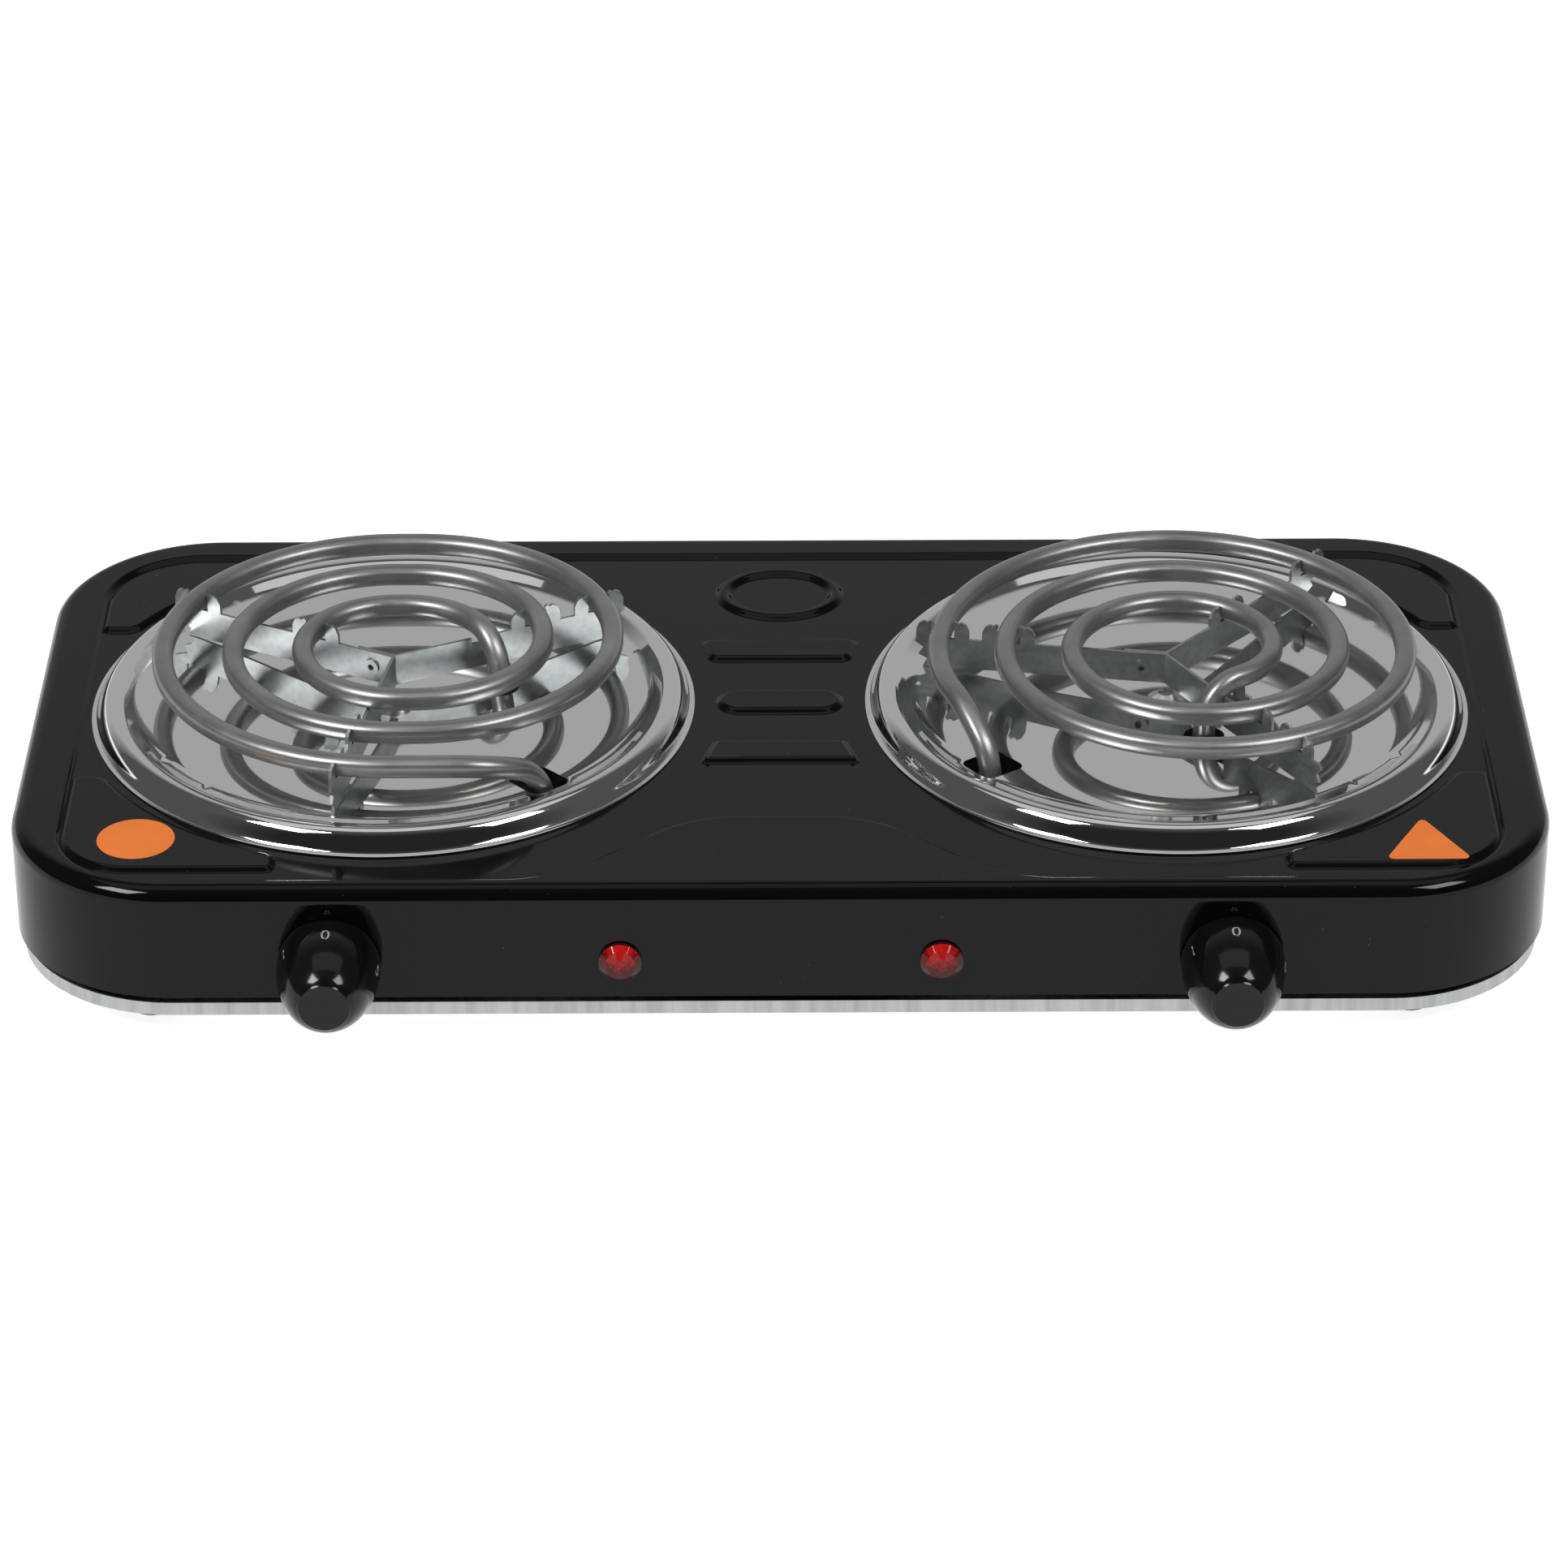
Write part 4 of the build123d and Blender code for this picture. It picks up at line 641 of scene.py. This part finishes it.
def oval_ring(sheet):
    """The raised ring, with its top and the floor inside it. Returns the line of its outer foot."""
    angles = np.linspace(0, 2 * pi, RING_SIDES, endpoint=False)
    walls = []
    for axes, outward in ((RING_OUTER, 1), (RING_INNER, -1)):
        outline = np.stack([axes[0] * np.cos(angles), body_y + RING_SETBACK + axes[1] * np.sin(angles)], 1)
        normals = np.stack([np.cos(angles) / axes[0], np.sin(angles) / axes[1]], 1)
        normals /= np.hypot(normals[:, 0], normals[:, 1])[:, None]
        walls.append(pressed_wall(sheet, outline, normals, -outward * WALL_REACH, outward * PRESS_RADIUS))
    outer, inner = walls
    sheet.flat(outer[0], [inner[0]], rim_top)
    sheet.flat(inner[-1], [], floor_top)
    return outer[-1]


def housing_piece():
    """The enamelled pressing: rolled edge, recess, pads, bars, ring and burner holes."""
    sheet = Sheet()
    rim_line = rolled_edge(sheet)
    recess = traced(recess_field, (0, body_y))
    recess_wall = pressed_wall(sheet, recess, field_normals(recess_field, recess), PRESS_RADIUS, -WALL_REACH)
    sheet.flat(rim_line, [recess_wall[0]], rim_top)
    holes = [*raised_forms(sheet), oval_ring(sheet)]
    for centre in PAN_CENTRES.values():
        holes.append(circle_line(centre, pan_radius - HOLE_MARGIN, RING_SIDES))
    sheet.flat(recess_wall[-1], holes, floor_top)
    sheet.thicken(SHEET)
    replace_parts(sheet.made("housing_skin", ENAMEL, slot="enamel"), "housing")


# --- Turned and swept forms ---


def chaikin(points, rounds=3):
    """Rounds the corners of an open polyline by cutting them, and keeps its ends."""
    line = np.array(points, float)
    for _ in range(rounds):
        near, far = line[:-1] * 0.75 + line[1:] * 0.25, line[:-1] * 0.25 + line[1:] * 0.75
        cut = np.empty((2 * len(near), line.shape[1]))
        cut[0::2], cut[1::2] = near, far
        line = np.vstack([line[:1], cut, line[-1:]])
    return line


def turned(profile, centre, axis, sides, sheet=None):
    """Revolves (radius, along) pairs about an axis. The profile runs with its outside on the left."""
    sheet = sheet or Sheet()
    axis = Vector(axis)
    across = Vector((1, 0, 0)) if abs(axis.x) < 0.5 else Vector((0, 1, 0))
    other = axis.cross(across)
    profile = np.array(profile, float)
    slopes = np.gradient(profile, axis=0)
    rows = []
    for (radius, along), (d_radius, d_along) in zip(profile, slopes):
        row = []
        for i in range(sides):
            angle = 2 * pi * i / sides
            out = across * cos(angle) + other * sin(angle)
            normal = out * d_along - axis * d_radius
            row.append(sheet.point(Vector(centre) + out * radius + axis * along, normal))
        rows.append(row)
    for a, b in zip(rows, rows[1:]):
        for i in range(sides):
            j = (i + 1) % sides
            face = [a[i], a[j], b[j], b[i]]
            unique = [v for n, v in enumerate(face) if v not in face[:n]]
            if len(unique) > 2:
                sheet.faces.append(tuple(unique))
    return sheet


# --- Drip pans ---
LIP_WIDTH = 1.7
CROWN_RADIUS = 85.0
CROWN_BENDS = [(3.7, -1.7), (1.8, -0.2), (0.0, 0.0), (-1.8, -0.3)]  # (out, up) from the top of the crown
CROWN_FOOT = (-3.4, 0.9)  # out from the crown's top, and up from the ledge
LEDGE_RADIUS = 80.0
LEDGE_HEIGHT = 4.2
LEDGE_SLOPE = 0.3
DISH_DEPTH = 4.5
DISH_SHARPNESS = 1.6
SCREW_HOLE_RADIUS = 2.1
INNER_HOLE_RADIUS = 6.2
OUTER_HOLE = (15.0, 13.5)
OUTER_HOLE_ROUND = 3.0
OUTER_HOLE_MARGIN = 1.0
PAN_SIDES, HOLE_SIDES, OUTER_HOLE_RAYS = 180, 45, 240
NET_PITCH, NET_SPACING = 4.0, 4.5  # of the dish's net, between its rings and along them
NET_LEAST = 12  # points in the smallest ring


def dish_height(radius):
    """Height of the dish above the lip."""
    return LEDGE_HEIGHT - DISH_DEPTH * np.maximum(1 - (radius / LEDGE_RADIUS) ** 2, 0) ** DISH_SHARPNESS


def dish_slope(radius):
    """Rise of the dish outward, which ends in the slope of the ledge."""
    if radius >= LEDGE_RADIUS - 10 * NUDGE:
        return LEDGE_SLOPE
    return float(dish_height(radius + NUDGE) - dish_height(radius - NUDGE)) / (2 * NUDGE)


def pan_profile():
    """(radius, height) of the pan's upper face from the lip in to the ledge, rounded."""
    corners = [(pan_radius, 0), (pan_radius - LIP_WIDTH, 0)]
    corners += [(CROWN_RADIUS + out, CROWN_HEIGHT + up) for out, up in CROWN_BENDS]
    corners.append((CROWN_RADIUS + CROWN_FOOT[0], LEDGE_HEIGHT + CROWN_FOOT[1]))
    corners.append((LEDGE_RADIUS, LEDGE_HEIGHT))
    return chaikin(corners)


def pan_holes(name):
    """Outlines of the holes for the screw, the outer leg and the inner leg, from the pan's centre."""
    outer_leg, inner_leg = leg_places(name)
    angle = atan2(outer_leg[1], outer_leg[0])
    outward = np.array([cos(angle), sin(angle)])
    turn = np.array([outward, [-outward[1], outward[0]]])

    def field(x, y):
        return rounded_box(x, y, (0, 0), OUTER_HOLE, OUTER_HOLE_ROUND)

    rectangle = traced(field, (0, 0), OUTER_HOLE_RAYS) @ turn
    return [
        circle_line((0, 0), SCREW_HOLE_RADIUS, HOLE_SIDES),
        rectangle + outward * (LEDGE_RADIUS - OUTER_HOLE_MARGIN - OUTER_HOLE[0] / 2),
        circle_line(inner_leg, INNER_HOLE_RADIUS, HOLE_SIDES),
    ]


def dish_net(holes):
    """Points in rings over the dish and clear of its holes, for a face fine enough to follow the surface."""
    net = []
    for radius in np.arange(LEDGE_RADIUS - NET_PITCH, NET_PITCH / 2, -NET_PITCH):
        count = max(NET_LEAST, int(2 * pi * radius / NET_SPACING))
        for x, y in circle_line((0, 0), radius, count):
            if not any(inside((x, y), hole) for hole in holes):
                net.append(Vector((x, y)))
    return net


def pan_piece(name):
    """A chromed pan: the rim in rings, the dish as a level net lifted on to its surface."""
    centre = PAN_CENTRES[name]
    sheet = Sheet()
    ring = circle_line((0, 0), 1.0, PAN_SIDES)
    profile = pan_profile()
    rows = []
    for (radius, height), (d_radius, d_height) in zip(profile, np.gradient(profile, axis=0)):
        steepness = d_height / d_radius if d_radius else 0.0
        tilted = [(-x * steepness, -y * steepness, 1) for x, y in ring]
        rows.append(sheet.loop(ring * radius + centre, tilted, lip_top + height))
    sheet.bands(rows[::-1])

    holes = pan_holes(name)
    found, faces = filled(ring * LEDGE_RADIUS, holes, dish_net(holes))
    for face in faces:
        corners = []
        for x, y in (found[i] for i in face):
            radius = min(sqrt(x * x + y * y), LEDGE_RADIUS)
            tilt = dish_slope(radius) / max(radius, NUDGE)
            place = (x + centre[0], y + centre[1], lip_top + float(dish_height(radius)))
            corners.append(sheet.point(place, (-x * tilt, -y * tilt, 1)))
        sheet.faces.append(corners)
    sheet.thicken(PAN_SHEET)
    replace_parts(sheet.made(f"pan_skin_{name}", CHROME, slot="chrome"), f"drip_pan_{name}")


# --- Spiral elements ---
TUBE_RADIUS = 3.25
TUBE_SIDES = 40
SQUARENESS = 2.35  # of the tube's section, where 2 is a circle
QUARTERS = 10
DOWN_BEND_RADIUS = 12.0
LEG_END = 28.0  # height of the legs' lower ends
BEND_STEP, RUN_STEP = radians(2.5), 6.0  # between rows of the tube
coil_z = coil_high[2] - TUBE_RADIUS
LEFT, RIGHT = Vector((-1, 0, 0)), Vector((1, 0, 0))
BACK, FORWARD = Vector((0, 1, 0)), Vector((0, -1, 0))
UP = Vector((0, 0, 1))


def spiral(headings, first_radius, inner_radius, ovality, last_turn, last_radius):
    """Moves of a flat spiral: quarter bends of falling radius, with flats if oval, then the inner end."""
    shrink = (first_radius - inner_radius) / (QUARTERS - 1)
    moves = []
    for quarter in range(QUARTERS):
        radius = first_radius - quarter * shrink
        heading = headings[(quarter + 1) % 4]
        moves.append((heading, radius))
        if ovality and heading.x:
            moves.append(ovality * radius)
    inward = Matrix.Rotation(-radians(last_turn), 3, "Z") @ heading
    return moves + [(inward, last_radius), (-UP, DOWN_BEND_RADIUS)]


# A rise takes the tube from its upright leg to the spiral. A move is a bend, as a heading to end in and a
# radius, or a straight run, as its length.
ELEMENTS = {
    "left": {
        "leg": (48.0, 36.1 - pan_radius),
        "rise": [(Vector((-0.68, -0.6, 0.42)).normalized(), 17.0), (LEFT, 26.0), 18.4],
        "spiral": spiral([LEFT, BACK, RIGHT, FORWARD], pan_radius - 19.0, 27.42, 0.09, 56, 28.0),
    },
    "right": {
        "leg": (37.0 - pan_radius, -46.4),
        "rise": [
            (Vector((-0.4, 0.64, 0.65)).normalized(), 15.0),
            (Vector((-0.342, 0.94, 0)).normalized(), 27.0),
            (BACK, 70.0),
        ],
        "spiral": spiral([BACK, RIGHT, FORWARD, LEFT], pan_radius - 18.3, 28.3, 0, 60, 23.2),
    },
}


def walk(start, moves):
    """Points, headings and the transported side direction along runs and bends that start upward."""
    at, heading, across = Vector(start), UP.copy(), Vector((1, 0, 0))
    rows = [(at.copy(), heading.copy(), across.copy())]
    for move in moves:
        if isinstance(move, tuple):
            goal, radius = move
            axis = heading.cross(goal).normalized()
            total = heading.angle(goal)
            centre = at + axis.cross(heading) * radius
            count = max(2, int(total / BEND_STEP))
            for i in range(1, count + 1):
                turn = Quaternion(axis, total * i / count)
                rows.append((centre + turn @ (at - centre), turn @ heading, turn @ across))
            at, heading, across = (v.copy() for v in rows[-1])
        else:
            count = max(1, int(move / RUN_STEP))
            for i in range(1, count + 1):
                rows.append((at + heading * move * i / count, heading.copy(), across.copy()))
            at = rows[-1][0].copy()
    return rows


def element_rows(name):
    """The tube's centre line as rows of (point, heading, side)."""
    element = ELEMENTS[name]
    centre = PAN_CENTRES[name]
    start = (centre[0] + element["leg"][0], centre[1] + element["leg"][1], LEG_END)
    rise = walk((0, 0, 0), element["rise"])[-1][0].z
    drop = coil_z - DOWN_BEND_RADIUS - LEG_END
    return walk(start, [coil_z - LEG_END - rise, *element["rise"], *element["spiral"], drop])


tube_rows = {name: element_rows(name) for name in ELEMENTS}


def leg_places(name):
    """Where the outer and the inner leg pass through the pan, from its centre."""
    centre = PAN_CENTRES[name]
    return [(row[0].x - centre[0], row[0].y - centre[1]) for row in (tube_rows[name][0], tube_rows[name][-1])]


def tube_section():
    """Places and normals round the tube, which is pressed a little square."""
    section = []
    for i in range(TUBE_SIDES):
        angle = 2 * pi * i / TUBE_SIDES
        c, s = cos(angle), sin(angle)
        radius = TUBE_RADIUS / (abs(c) ** SQUARENESS + abs(s) ** SQUARENESS) ** (1 / SQUARENESS)
        normal = (np.sign(c) * abs(c) ** (SQUARENESS - 1), np.sign(s) * abs(s) ** (SQUARENESS - 1))
        section.append(((radius * c, radius * s), normal))
    return section


def tube_faces(lengths):
    """Faces of a tube with a row of points at each length along it, its two ends last, and their UVs."""
    faces, uvs = [], []
    for i, (u0, u1) in enumerate(zip(lengths, lengths[1:])):
        for j in range(TUBE_SIDES):
            k = (j + 1) % TUBE_SIDES
            a, b = i * TUBE_SIDES, (i + 1) * TUBE_SIDES
            faces.append((a + j, a + k, b + k, b + j))
            v0, v1 = j / TUBE_SIDES, (j + 1) / TUBE_SIDES
            uvs += [(u0, v0), (u0, v1), (u1, v1), (u1, v0)]
    last = (len(lengths) - 1) * TUBE_SIDES
    faces.append(tuple(reversed(range(TUBE_SIDES))))
    faces.append(tuple(range(last, last + TUBE_SIDES)))
    uvs += [(0, 0)] * (2 * TUBE_SIDES)
    return faces, uvs


def coil_piece(name):
    """The sheathed tube, turned so that its section stands square in the spiral."""
    rows = tube_rows[name]
    _, heading, across = next(row for row in rows[len(rows) // 2:] if abs(row[1].z) < TINY)
    twist = atan2(heading.cross(across).z, across.z)
    section = tube_section()
    points, normals, lengths, travelled, before = [], [], [], 0.0, None
    for place, heading, across in rows:
        upright = (across * cos(twist) + heading.cross(across) * sin(twist)).normalized()
        sideways = heading.cross(upright)
        if before:
            travelled += (place - before).length
        before = place
        for (a, b), (na, nb) in section:
            points.append((place + upright * a + sideways * b) * MM)
            normals.append((upright * na + sideways * nb).normalized())
        lengths.append(travelled * MM)
    faces, uvs = tube_faces(lengths)
    mesh = bpy.data.meshes.new(f"coil_skin_{name}")
    mesh.from_pydata(points, [], faces)
    layer = mesh.uv_layers.new(name="length")
    layer.data.foreach_set("uv", [v for uv in uvs for v in uv])
    mesh.polygons.foreach_set("use_smooth", [True] * (len(faces) - 2) + [False] * 2)
    mesh.normals_split_custom_set_from_vertices(normals)
    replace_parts(finished(mesh.name, mesh, SHEATH, "root"), f"coil_{name}")


# --- Knobs ---
PRINT_WHITE = plastic_material("print_white", (0.36, 0.39, 0.41), 0.5, grain=0.02)
KNOB_RADIUS = 15.3
KNOB_GAP = 1.0
KNOB_LENGTH = 24.4
KNOB_SIDES = 96
KNOB_FACE_RADIUS = 7.45
FACE_BEVEL = 0.35
SEAM = 0.0003  # between faces that meet at an edge, so that each keeps its own normals
# Shares of the knob's radius and length, from its back.
KNOB_CORNERS = [(0.985, 0.0), (1.0, 0.05), (1.0, 0.2), (0.965, 0.4), (0.87, 0.64), (0.74, 0.82), (0.6, 0.94)]
KNOB_MARKS = "012345"
MARK_HEIGHT = 6.0
MARK_PLACE = 10.0  # of the marks' foot, from the knob's back
MARK_STEP = 56.0  # degrees from one mark to the next
MARK_NET = 0.5  # width of the strips that a mark is cut into, so that it follows the knob
MARK_CURVE_STEPS = 3
PRINT_RISE = 0.03
INDEX_RADIUS, INDEX_GAP = 1.0, 0.4
INDEX_SIDES = 32


def knob_centre(name):
    """The middle of the knob's back."""
    return Vector((SIDES[name] * knob_x, front_y - KNOB_GAP, control_z))


def knob_profile():
    """(radius, distance from the back) from the back edge to the rim of the face."""
    corners = [(KNOB_RADIUS * r, KNOB_LENGTH * a) for r, a in KNOB_CORNERS]
    return chaikin([*corners, (KNOB_FACE_RADIUS + FACE_BEVEL, KNOB_LENGTH - FACE_BEVEL)])


def knob_piece(name):
    """The knob's outside, open at its back, with a flat face set off by a fine bevel."""
    bevel = [(KNOB_FACE_RADIUS + FACE_BEVEL, KNOB_LENGTH - FACE_BEVEL), (KNOB_FACE_RADIUS, KNOB_LENGTH)]
    face = [(KNOB_FACE_RADIUS, KNOB_LENGTH), (0, KNOB_LENGTH)]
    sheet = Sheet()
    for order, profile in enumerate((knob_profile(), bevel, face)):
        centre = knob_centre(name) + FORWARD * (order * SEAM)
        turned(profile, centre, FORWARD, KNOB_SIDES, sheet)
    piece = sheet.made(f"knob_skin_{name}", KNOB_BLACK, body=f"knob_{name}", slot="knob_plastic")
    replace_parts(piece, f"knob_{name}")


def digit_mesh(digit):
    """A flat digit that stands on its origin, cut into strips that can follow the knob."""
    text = bpy.data.curves.new("digit", "FONT")
    text.body = digit
    text.size = MARK_HEIGHT
    text.align_x = "CENTER"
    text.resolution_u = MARK_CURVE_STEPS
    holder = bpy.data.objects.new("digit", text)
    bpy.context.scene.collection.objects.link(holder)
    bpy.context.view_layer.update()
    flat = bpy.data.meshes.new_from_object(holder.evaluated_get(bpy.context.evaluated_depsgraph_get()))
    bpy.data.objects.remove(holder)
    net = bmesh.new()
    net.from_mesh(flat)
    for across in np.arange(-MARK_HEIGHT / 2, MARK_HEIGHT / 2, MARK_NET):
        everything = [*net.verts, *net.edges, *net.faces]
        bmesh.ops.bisect_plane(net, geom=everything, plane_co=(across, 0, 0), plane_no=(1, 0, 0))
    net.to_mesh(flat)
    net.free()
    return flat


def digit_piece(name, digit, angle):
    """A printed digit wrapped round the knob's skirt, upright to someone who looks down on it."""
    flat = digit_mesh(digit)
    profile = knob_profile()
    middle = knob_centre(name)
    sheet = Sheet()
    for face in flat.polygons:
        corners = []
        for i in face.vertices:
            across, up, _ = flat.vertices[i].co
            along = MARK_PLACE - up
            radius = float(np.interp(along, profile[:, 1], profile[:, 0]))
            turn = radians(90 + angle) - across / KNOB_RADIUS
            out = Vector((cos(turn), 0, sin(turn)))
            corners.append(sheet.point(middle + out * (radius + PRINT_RISE) + FORWARD * along, out))
        sheet.faces.append(corners)
    sheet.made(f"mark_{name}_{digit}", PRINT_WHITE, body=f"knob_{name}")


def index_nub(name):
    """The small raised point on the panel over a knob."""
    centre = (SIDES[name] * knob_x, front_y, control_z + KNOB_RADIUS + INDEX_GAP + INDEX_RADIUS)
    profile = [(INDEX_RADIUS * cos(radians(a)), INDEX_RISE * sin(radians(a))) for a in range(0, 91, 15)]
    turned(profile, centre, FORWARD, INDEX_SIDES).made(f"index_nub_{name}", ENAMEL, slot="enamel")


# --- Labels: plain patches, with no symbols or words ---
LABEL_ORANGE = plastic_material("label_orange", (0.87, 0.20, 0.02), 0.35, grain=0.02)
LABEL_THICKNESS = 0.12
LABEL_INSET = 39.0  # of both labels' middles from the housing's sides
ROUND_LABEL_SETBACK = 30.0  # of its middle from the housing's front
ROUND_LABEL_RADIUS = 11.5
ROUND_LABEL_SIDES = 72
TRIANGLE_SETBACK = 15.8  # of its base
TRIANGLE = [(-12.8, 0.0), (12.7, 0.0), (-0.1, 24.0)]  # from the middle of its base
TRIANGLE_ROUND = 2.5
TRIANGLE_RAYS = 720


def label(name, outline):
    """A flat sticker on the rim's level, with a thin edge."""
    sheet = Sheet()
    sheet.flat(outline, [], rim_top + LABEL_THICKNESS)
    sheet.thicken(LABEL_THICKNESS)
    sheet.made(name, LABEL_ORANGE)


def round_label():
    """The sticker on the left front pad."""
    centre = (LABEL_INSET - body_width / 2, front_y + ROUND_LABEL_SETBACK)
    label("label_round", circle_line(centre, ROUND_LABEL_RADIUS, ROUND_LABEL_SIDES))


def triangle_label():
    """The sticker on the right front pad, with round corners."""
    foot = np.array([body_width / 2 - LABEL_INSET, front_y + TRIANGLE_SETBACK])
    corners = [foot + corner for corner in TRIANGLE]
    ends = corners[1:] + corners[:1]

    def field(x, y):
        base, right, left = (half_plane(x, y, start, end) for start, end in zip(corners, ends))
        return meet(meet(base, right, TRIANGLE_ROUND), left, TRIANGLE_ROUND)

    label("label_triangle", traced(field, sum(corners) / len(corners), TRIANGLE_RAYS))


# --- The pieces ---
housing_piece()
for name in SIDES:
    pan_piece(name)
    coil_piece(name)
for name in SIDES:
    knob_piece(name)
    index_nub(name)
    for place, digit in enumerate(KNOB_MARKS):
        digit_piece(name, digit, MARK_STEP * place)
round_label()
triangle_label()


# --- Camera, light and stage ---


CAMERA_PLACE = (-0.1, -1541.4, 919.2)
CAMERA_PITCH, CAMERA_YAW, CAMERA_ROLL = radians(30.011), radians(0.047), radians(-0.192)
LENS, SENSOR = 132.85, 36.0
FAR_CLIP = 20  # metres
# Strength of the room's light against the Y of the direction that it comes from.
AHEAD, CEILING, WALL = 0.02, 0.09, 0.44
ROOM = [(-1, AHEAD), (-0.7, AHEAD), (-0.25, CEILING), (0.5, CEILING), (0.75, WALL), (1, WALL)]
FLOOR_SIZE = 8  # metres
FLOOR_WHITE, FLOOR_ROUGHNESS = 0.85, 0.9
FLOOR_GLOW, FLOOR_REFLECTED = 0.75, 1.0
# Name, place, target and size in metres, and power in watts.
LAMPS = [
    ("key_left", (-1.1, -0.9, 1.5), (0, 0, 0.05), (0.7, 0.7), 26),
    ("key_right", (1.1, -0.9, 1.5), (0, 0, 0.05), (0.7, 0.7), 16),
    ("overhead", (0, 0.1, 1.5), (0, 0.1, 0.05), (1.8, 0.8), 2.4),
]


def camera():
    """A long lens from above the front, as a shop's picture is taken."""
    data = bpy.data.cameras.new("camera")
    data.lens = LENS
    data.sensor_width = SENSOR
    data.clip_end = FAR_CLIP
    made = bpy.data.objects.new("camera", data)
    pitch, yaw, roll = CAMERA_PITCH, CAMERA_YAW, CAMERA_ROLL
    forward = Vector((sin(yaw) * cos(pitch), cos(yaw) * cos(pitch), -sin(pitch)))
    right = Vector((cos(yaw), -sin(yaw), 0))
    up = right.cross(forward)
    level_right = right * cos(roll) + up * sin(roll)
    level_up = up * cos(roll) - right * sin(roll)
    turn = Matrix((level_right, level_up, -forward)).transposed()
    made.matrix_world = Matrix.Translation(Vector(CAMERA_PLACE) * MM) @ turn.to_4x4()
    bpy.context.scene.collection.objects.link(made)
    bpy.context.scene.camera = made


def softbox(name, place, target, size, power):
    """A rectangular lamp that points at a target."""
    data = bpy.data.lights.new(name, "AREA")
    data.shape = "RECTANGLE"
    data.size, data.size_y = size
    data.energy = power
    made = bpy.data.objects.new(name, data)
    made.location = place
    made.rotation_euler = (Vector(target) - Vector(place)).to_track_quat("-Z", "Y").to_euler()
    bpy.context.scene.collection.objects.link(made)


def combined(tree, operation, *values):
    """The result of a Math node on values, which are outputs or numbers."""
    made = tree.nodes.new("ShaderNodeMath")
    made.operation = operation
    for socket, value in zip(made.inputs, values):
        if isinstance(value, (int, float)):
            socket.default_value = value
        else:
            tree.links.new(value, socket)
    return made.outputs["Value"]


def world():
    """A studio: white to the camera, a lit wall behind, dimmer sides and ceiling, and dark in front."""
    made = bpy.data.worlds.new("studio")
    bpy.context.scene.world = made
    made.use_nodes = True
    tree = made.node_tree
    direction = tree.nodes.new("ShaderNodeSeparateXYZ")
    tree.links.new(tree.nodes.new("ShaderNodeTexCoord").outputs["Generated"], direction.inputs["Vector"])
    # The curve takes 0 to 1, so a direction's -1 to 1 is halved and moved up.
    room = tree.nodes.new("ShaderNodeFloatCurve")
    curve = room.mapping.curves[0]
    while len(curve.points) < len(ROOM):
        curve.points.new(0.5, 0.5)
    for point, (place, level) in zip(curve.points, ROOM):
        point.location = (place / 2 + 0.5, level)
        point.handle_type = "VECTOR"
    room.mapping.update()
    tree.links.new(combined(tree, "MULTIPLY_ADD", direction.outputs["Y"], 0.5, 0.5), room.inputs["Value"])
    seen = tree.nodes.new("ShaderNodeLightPath").outputs["Is Camera Ray"]
    background = tree.nodes["Background"]
    tree.links.new(combined(tree, "MAXIMUM", room.outputs["Value"], seen), background.inputs["Strength"])
    background.inputs["Color"].default_value = (1, 1, 1, 1)


def floor():
    """A plain white floor. It glows a little to the camera, reflects as plain white and keeps the shadow."""
    bpy.ops.mesh.primitive_plane_add(size=FLOOR_SIZE, location=(0, 0, 0))
    made = bpy.context.object
    made.name = "floor"
    material = bpy.data.materials.new("floor")
    material.use_nodes = True
    tree = material.node_tree
    surface = tree.nodes["Principled BSDF"]
    surface.inputs["Base Color"].default_value = (FLOOR_WHITE, FLOOR_WHITE, FLOOR_WHITE, 1)
    surface.inputs["Roughness"].default_value = FLOOR_ROUGHNESS
    surface.inputs["Specular IOR Level"].default_value = 0.0
    surface.inputs["Emission Color"].default_value = (1, 1, 1, 1)
    path = tree.nodes.new("ShaderNodeLightPath").outputs
    glow = combined(tree, "MULTIPLY", path["Is Camera Ray"], FLOOR_GLOW)
    tree.links.new(glow, surface.inputs["Emission Strength"])
    white = tree.nodes.new("ShaderNodeEmission")
    white.inputs["Strength"].default_value = FLOOR_REFLECTED
    reflected = combined(tree, "MAXIMUM", path["Is Glossy Ray"], path["Is Transmission Ray"])
    mix = tree.nodes.new("ShaderNodeMixShader")
    tree.links.new(reflected, mix.inputs["Fac"])
    tree.links.new(surface.outputs["BSDF"], mix.inputs[1])
    tree.links.new(white.outputs["Emission"], mix.inputs[2])
    tree.links.new(mix.outputs["Shader"], tree.nodes["Material Output"].inputs["Surface"])
    made.data.materials.append(material)


camera()
world()
floor()
for lamp in LAMPS:
    softbox(*lamp)
bpy.context.scene.view_settings.view_transform = "Standard"
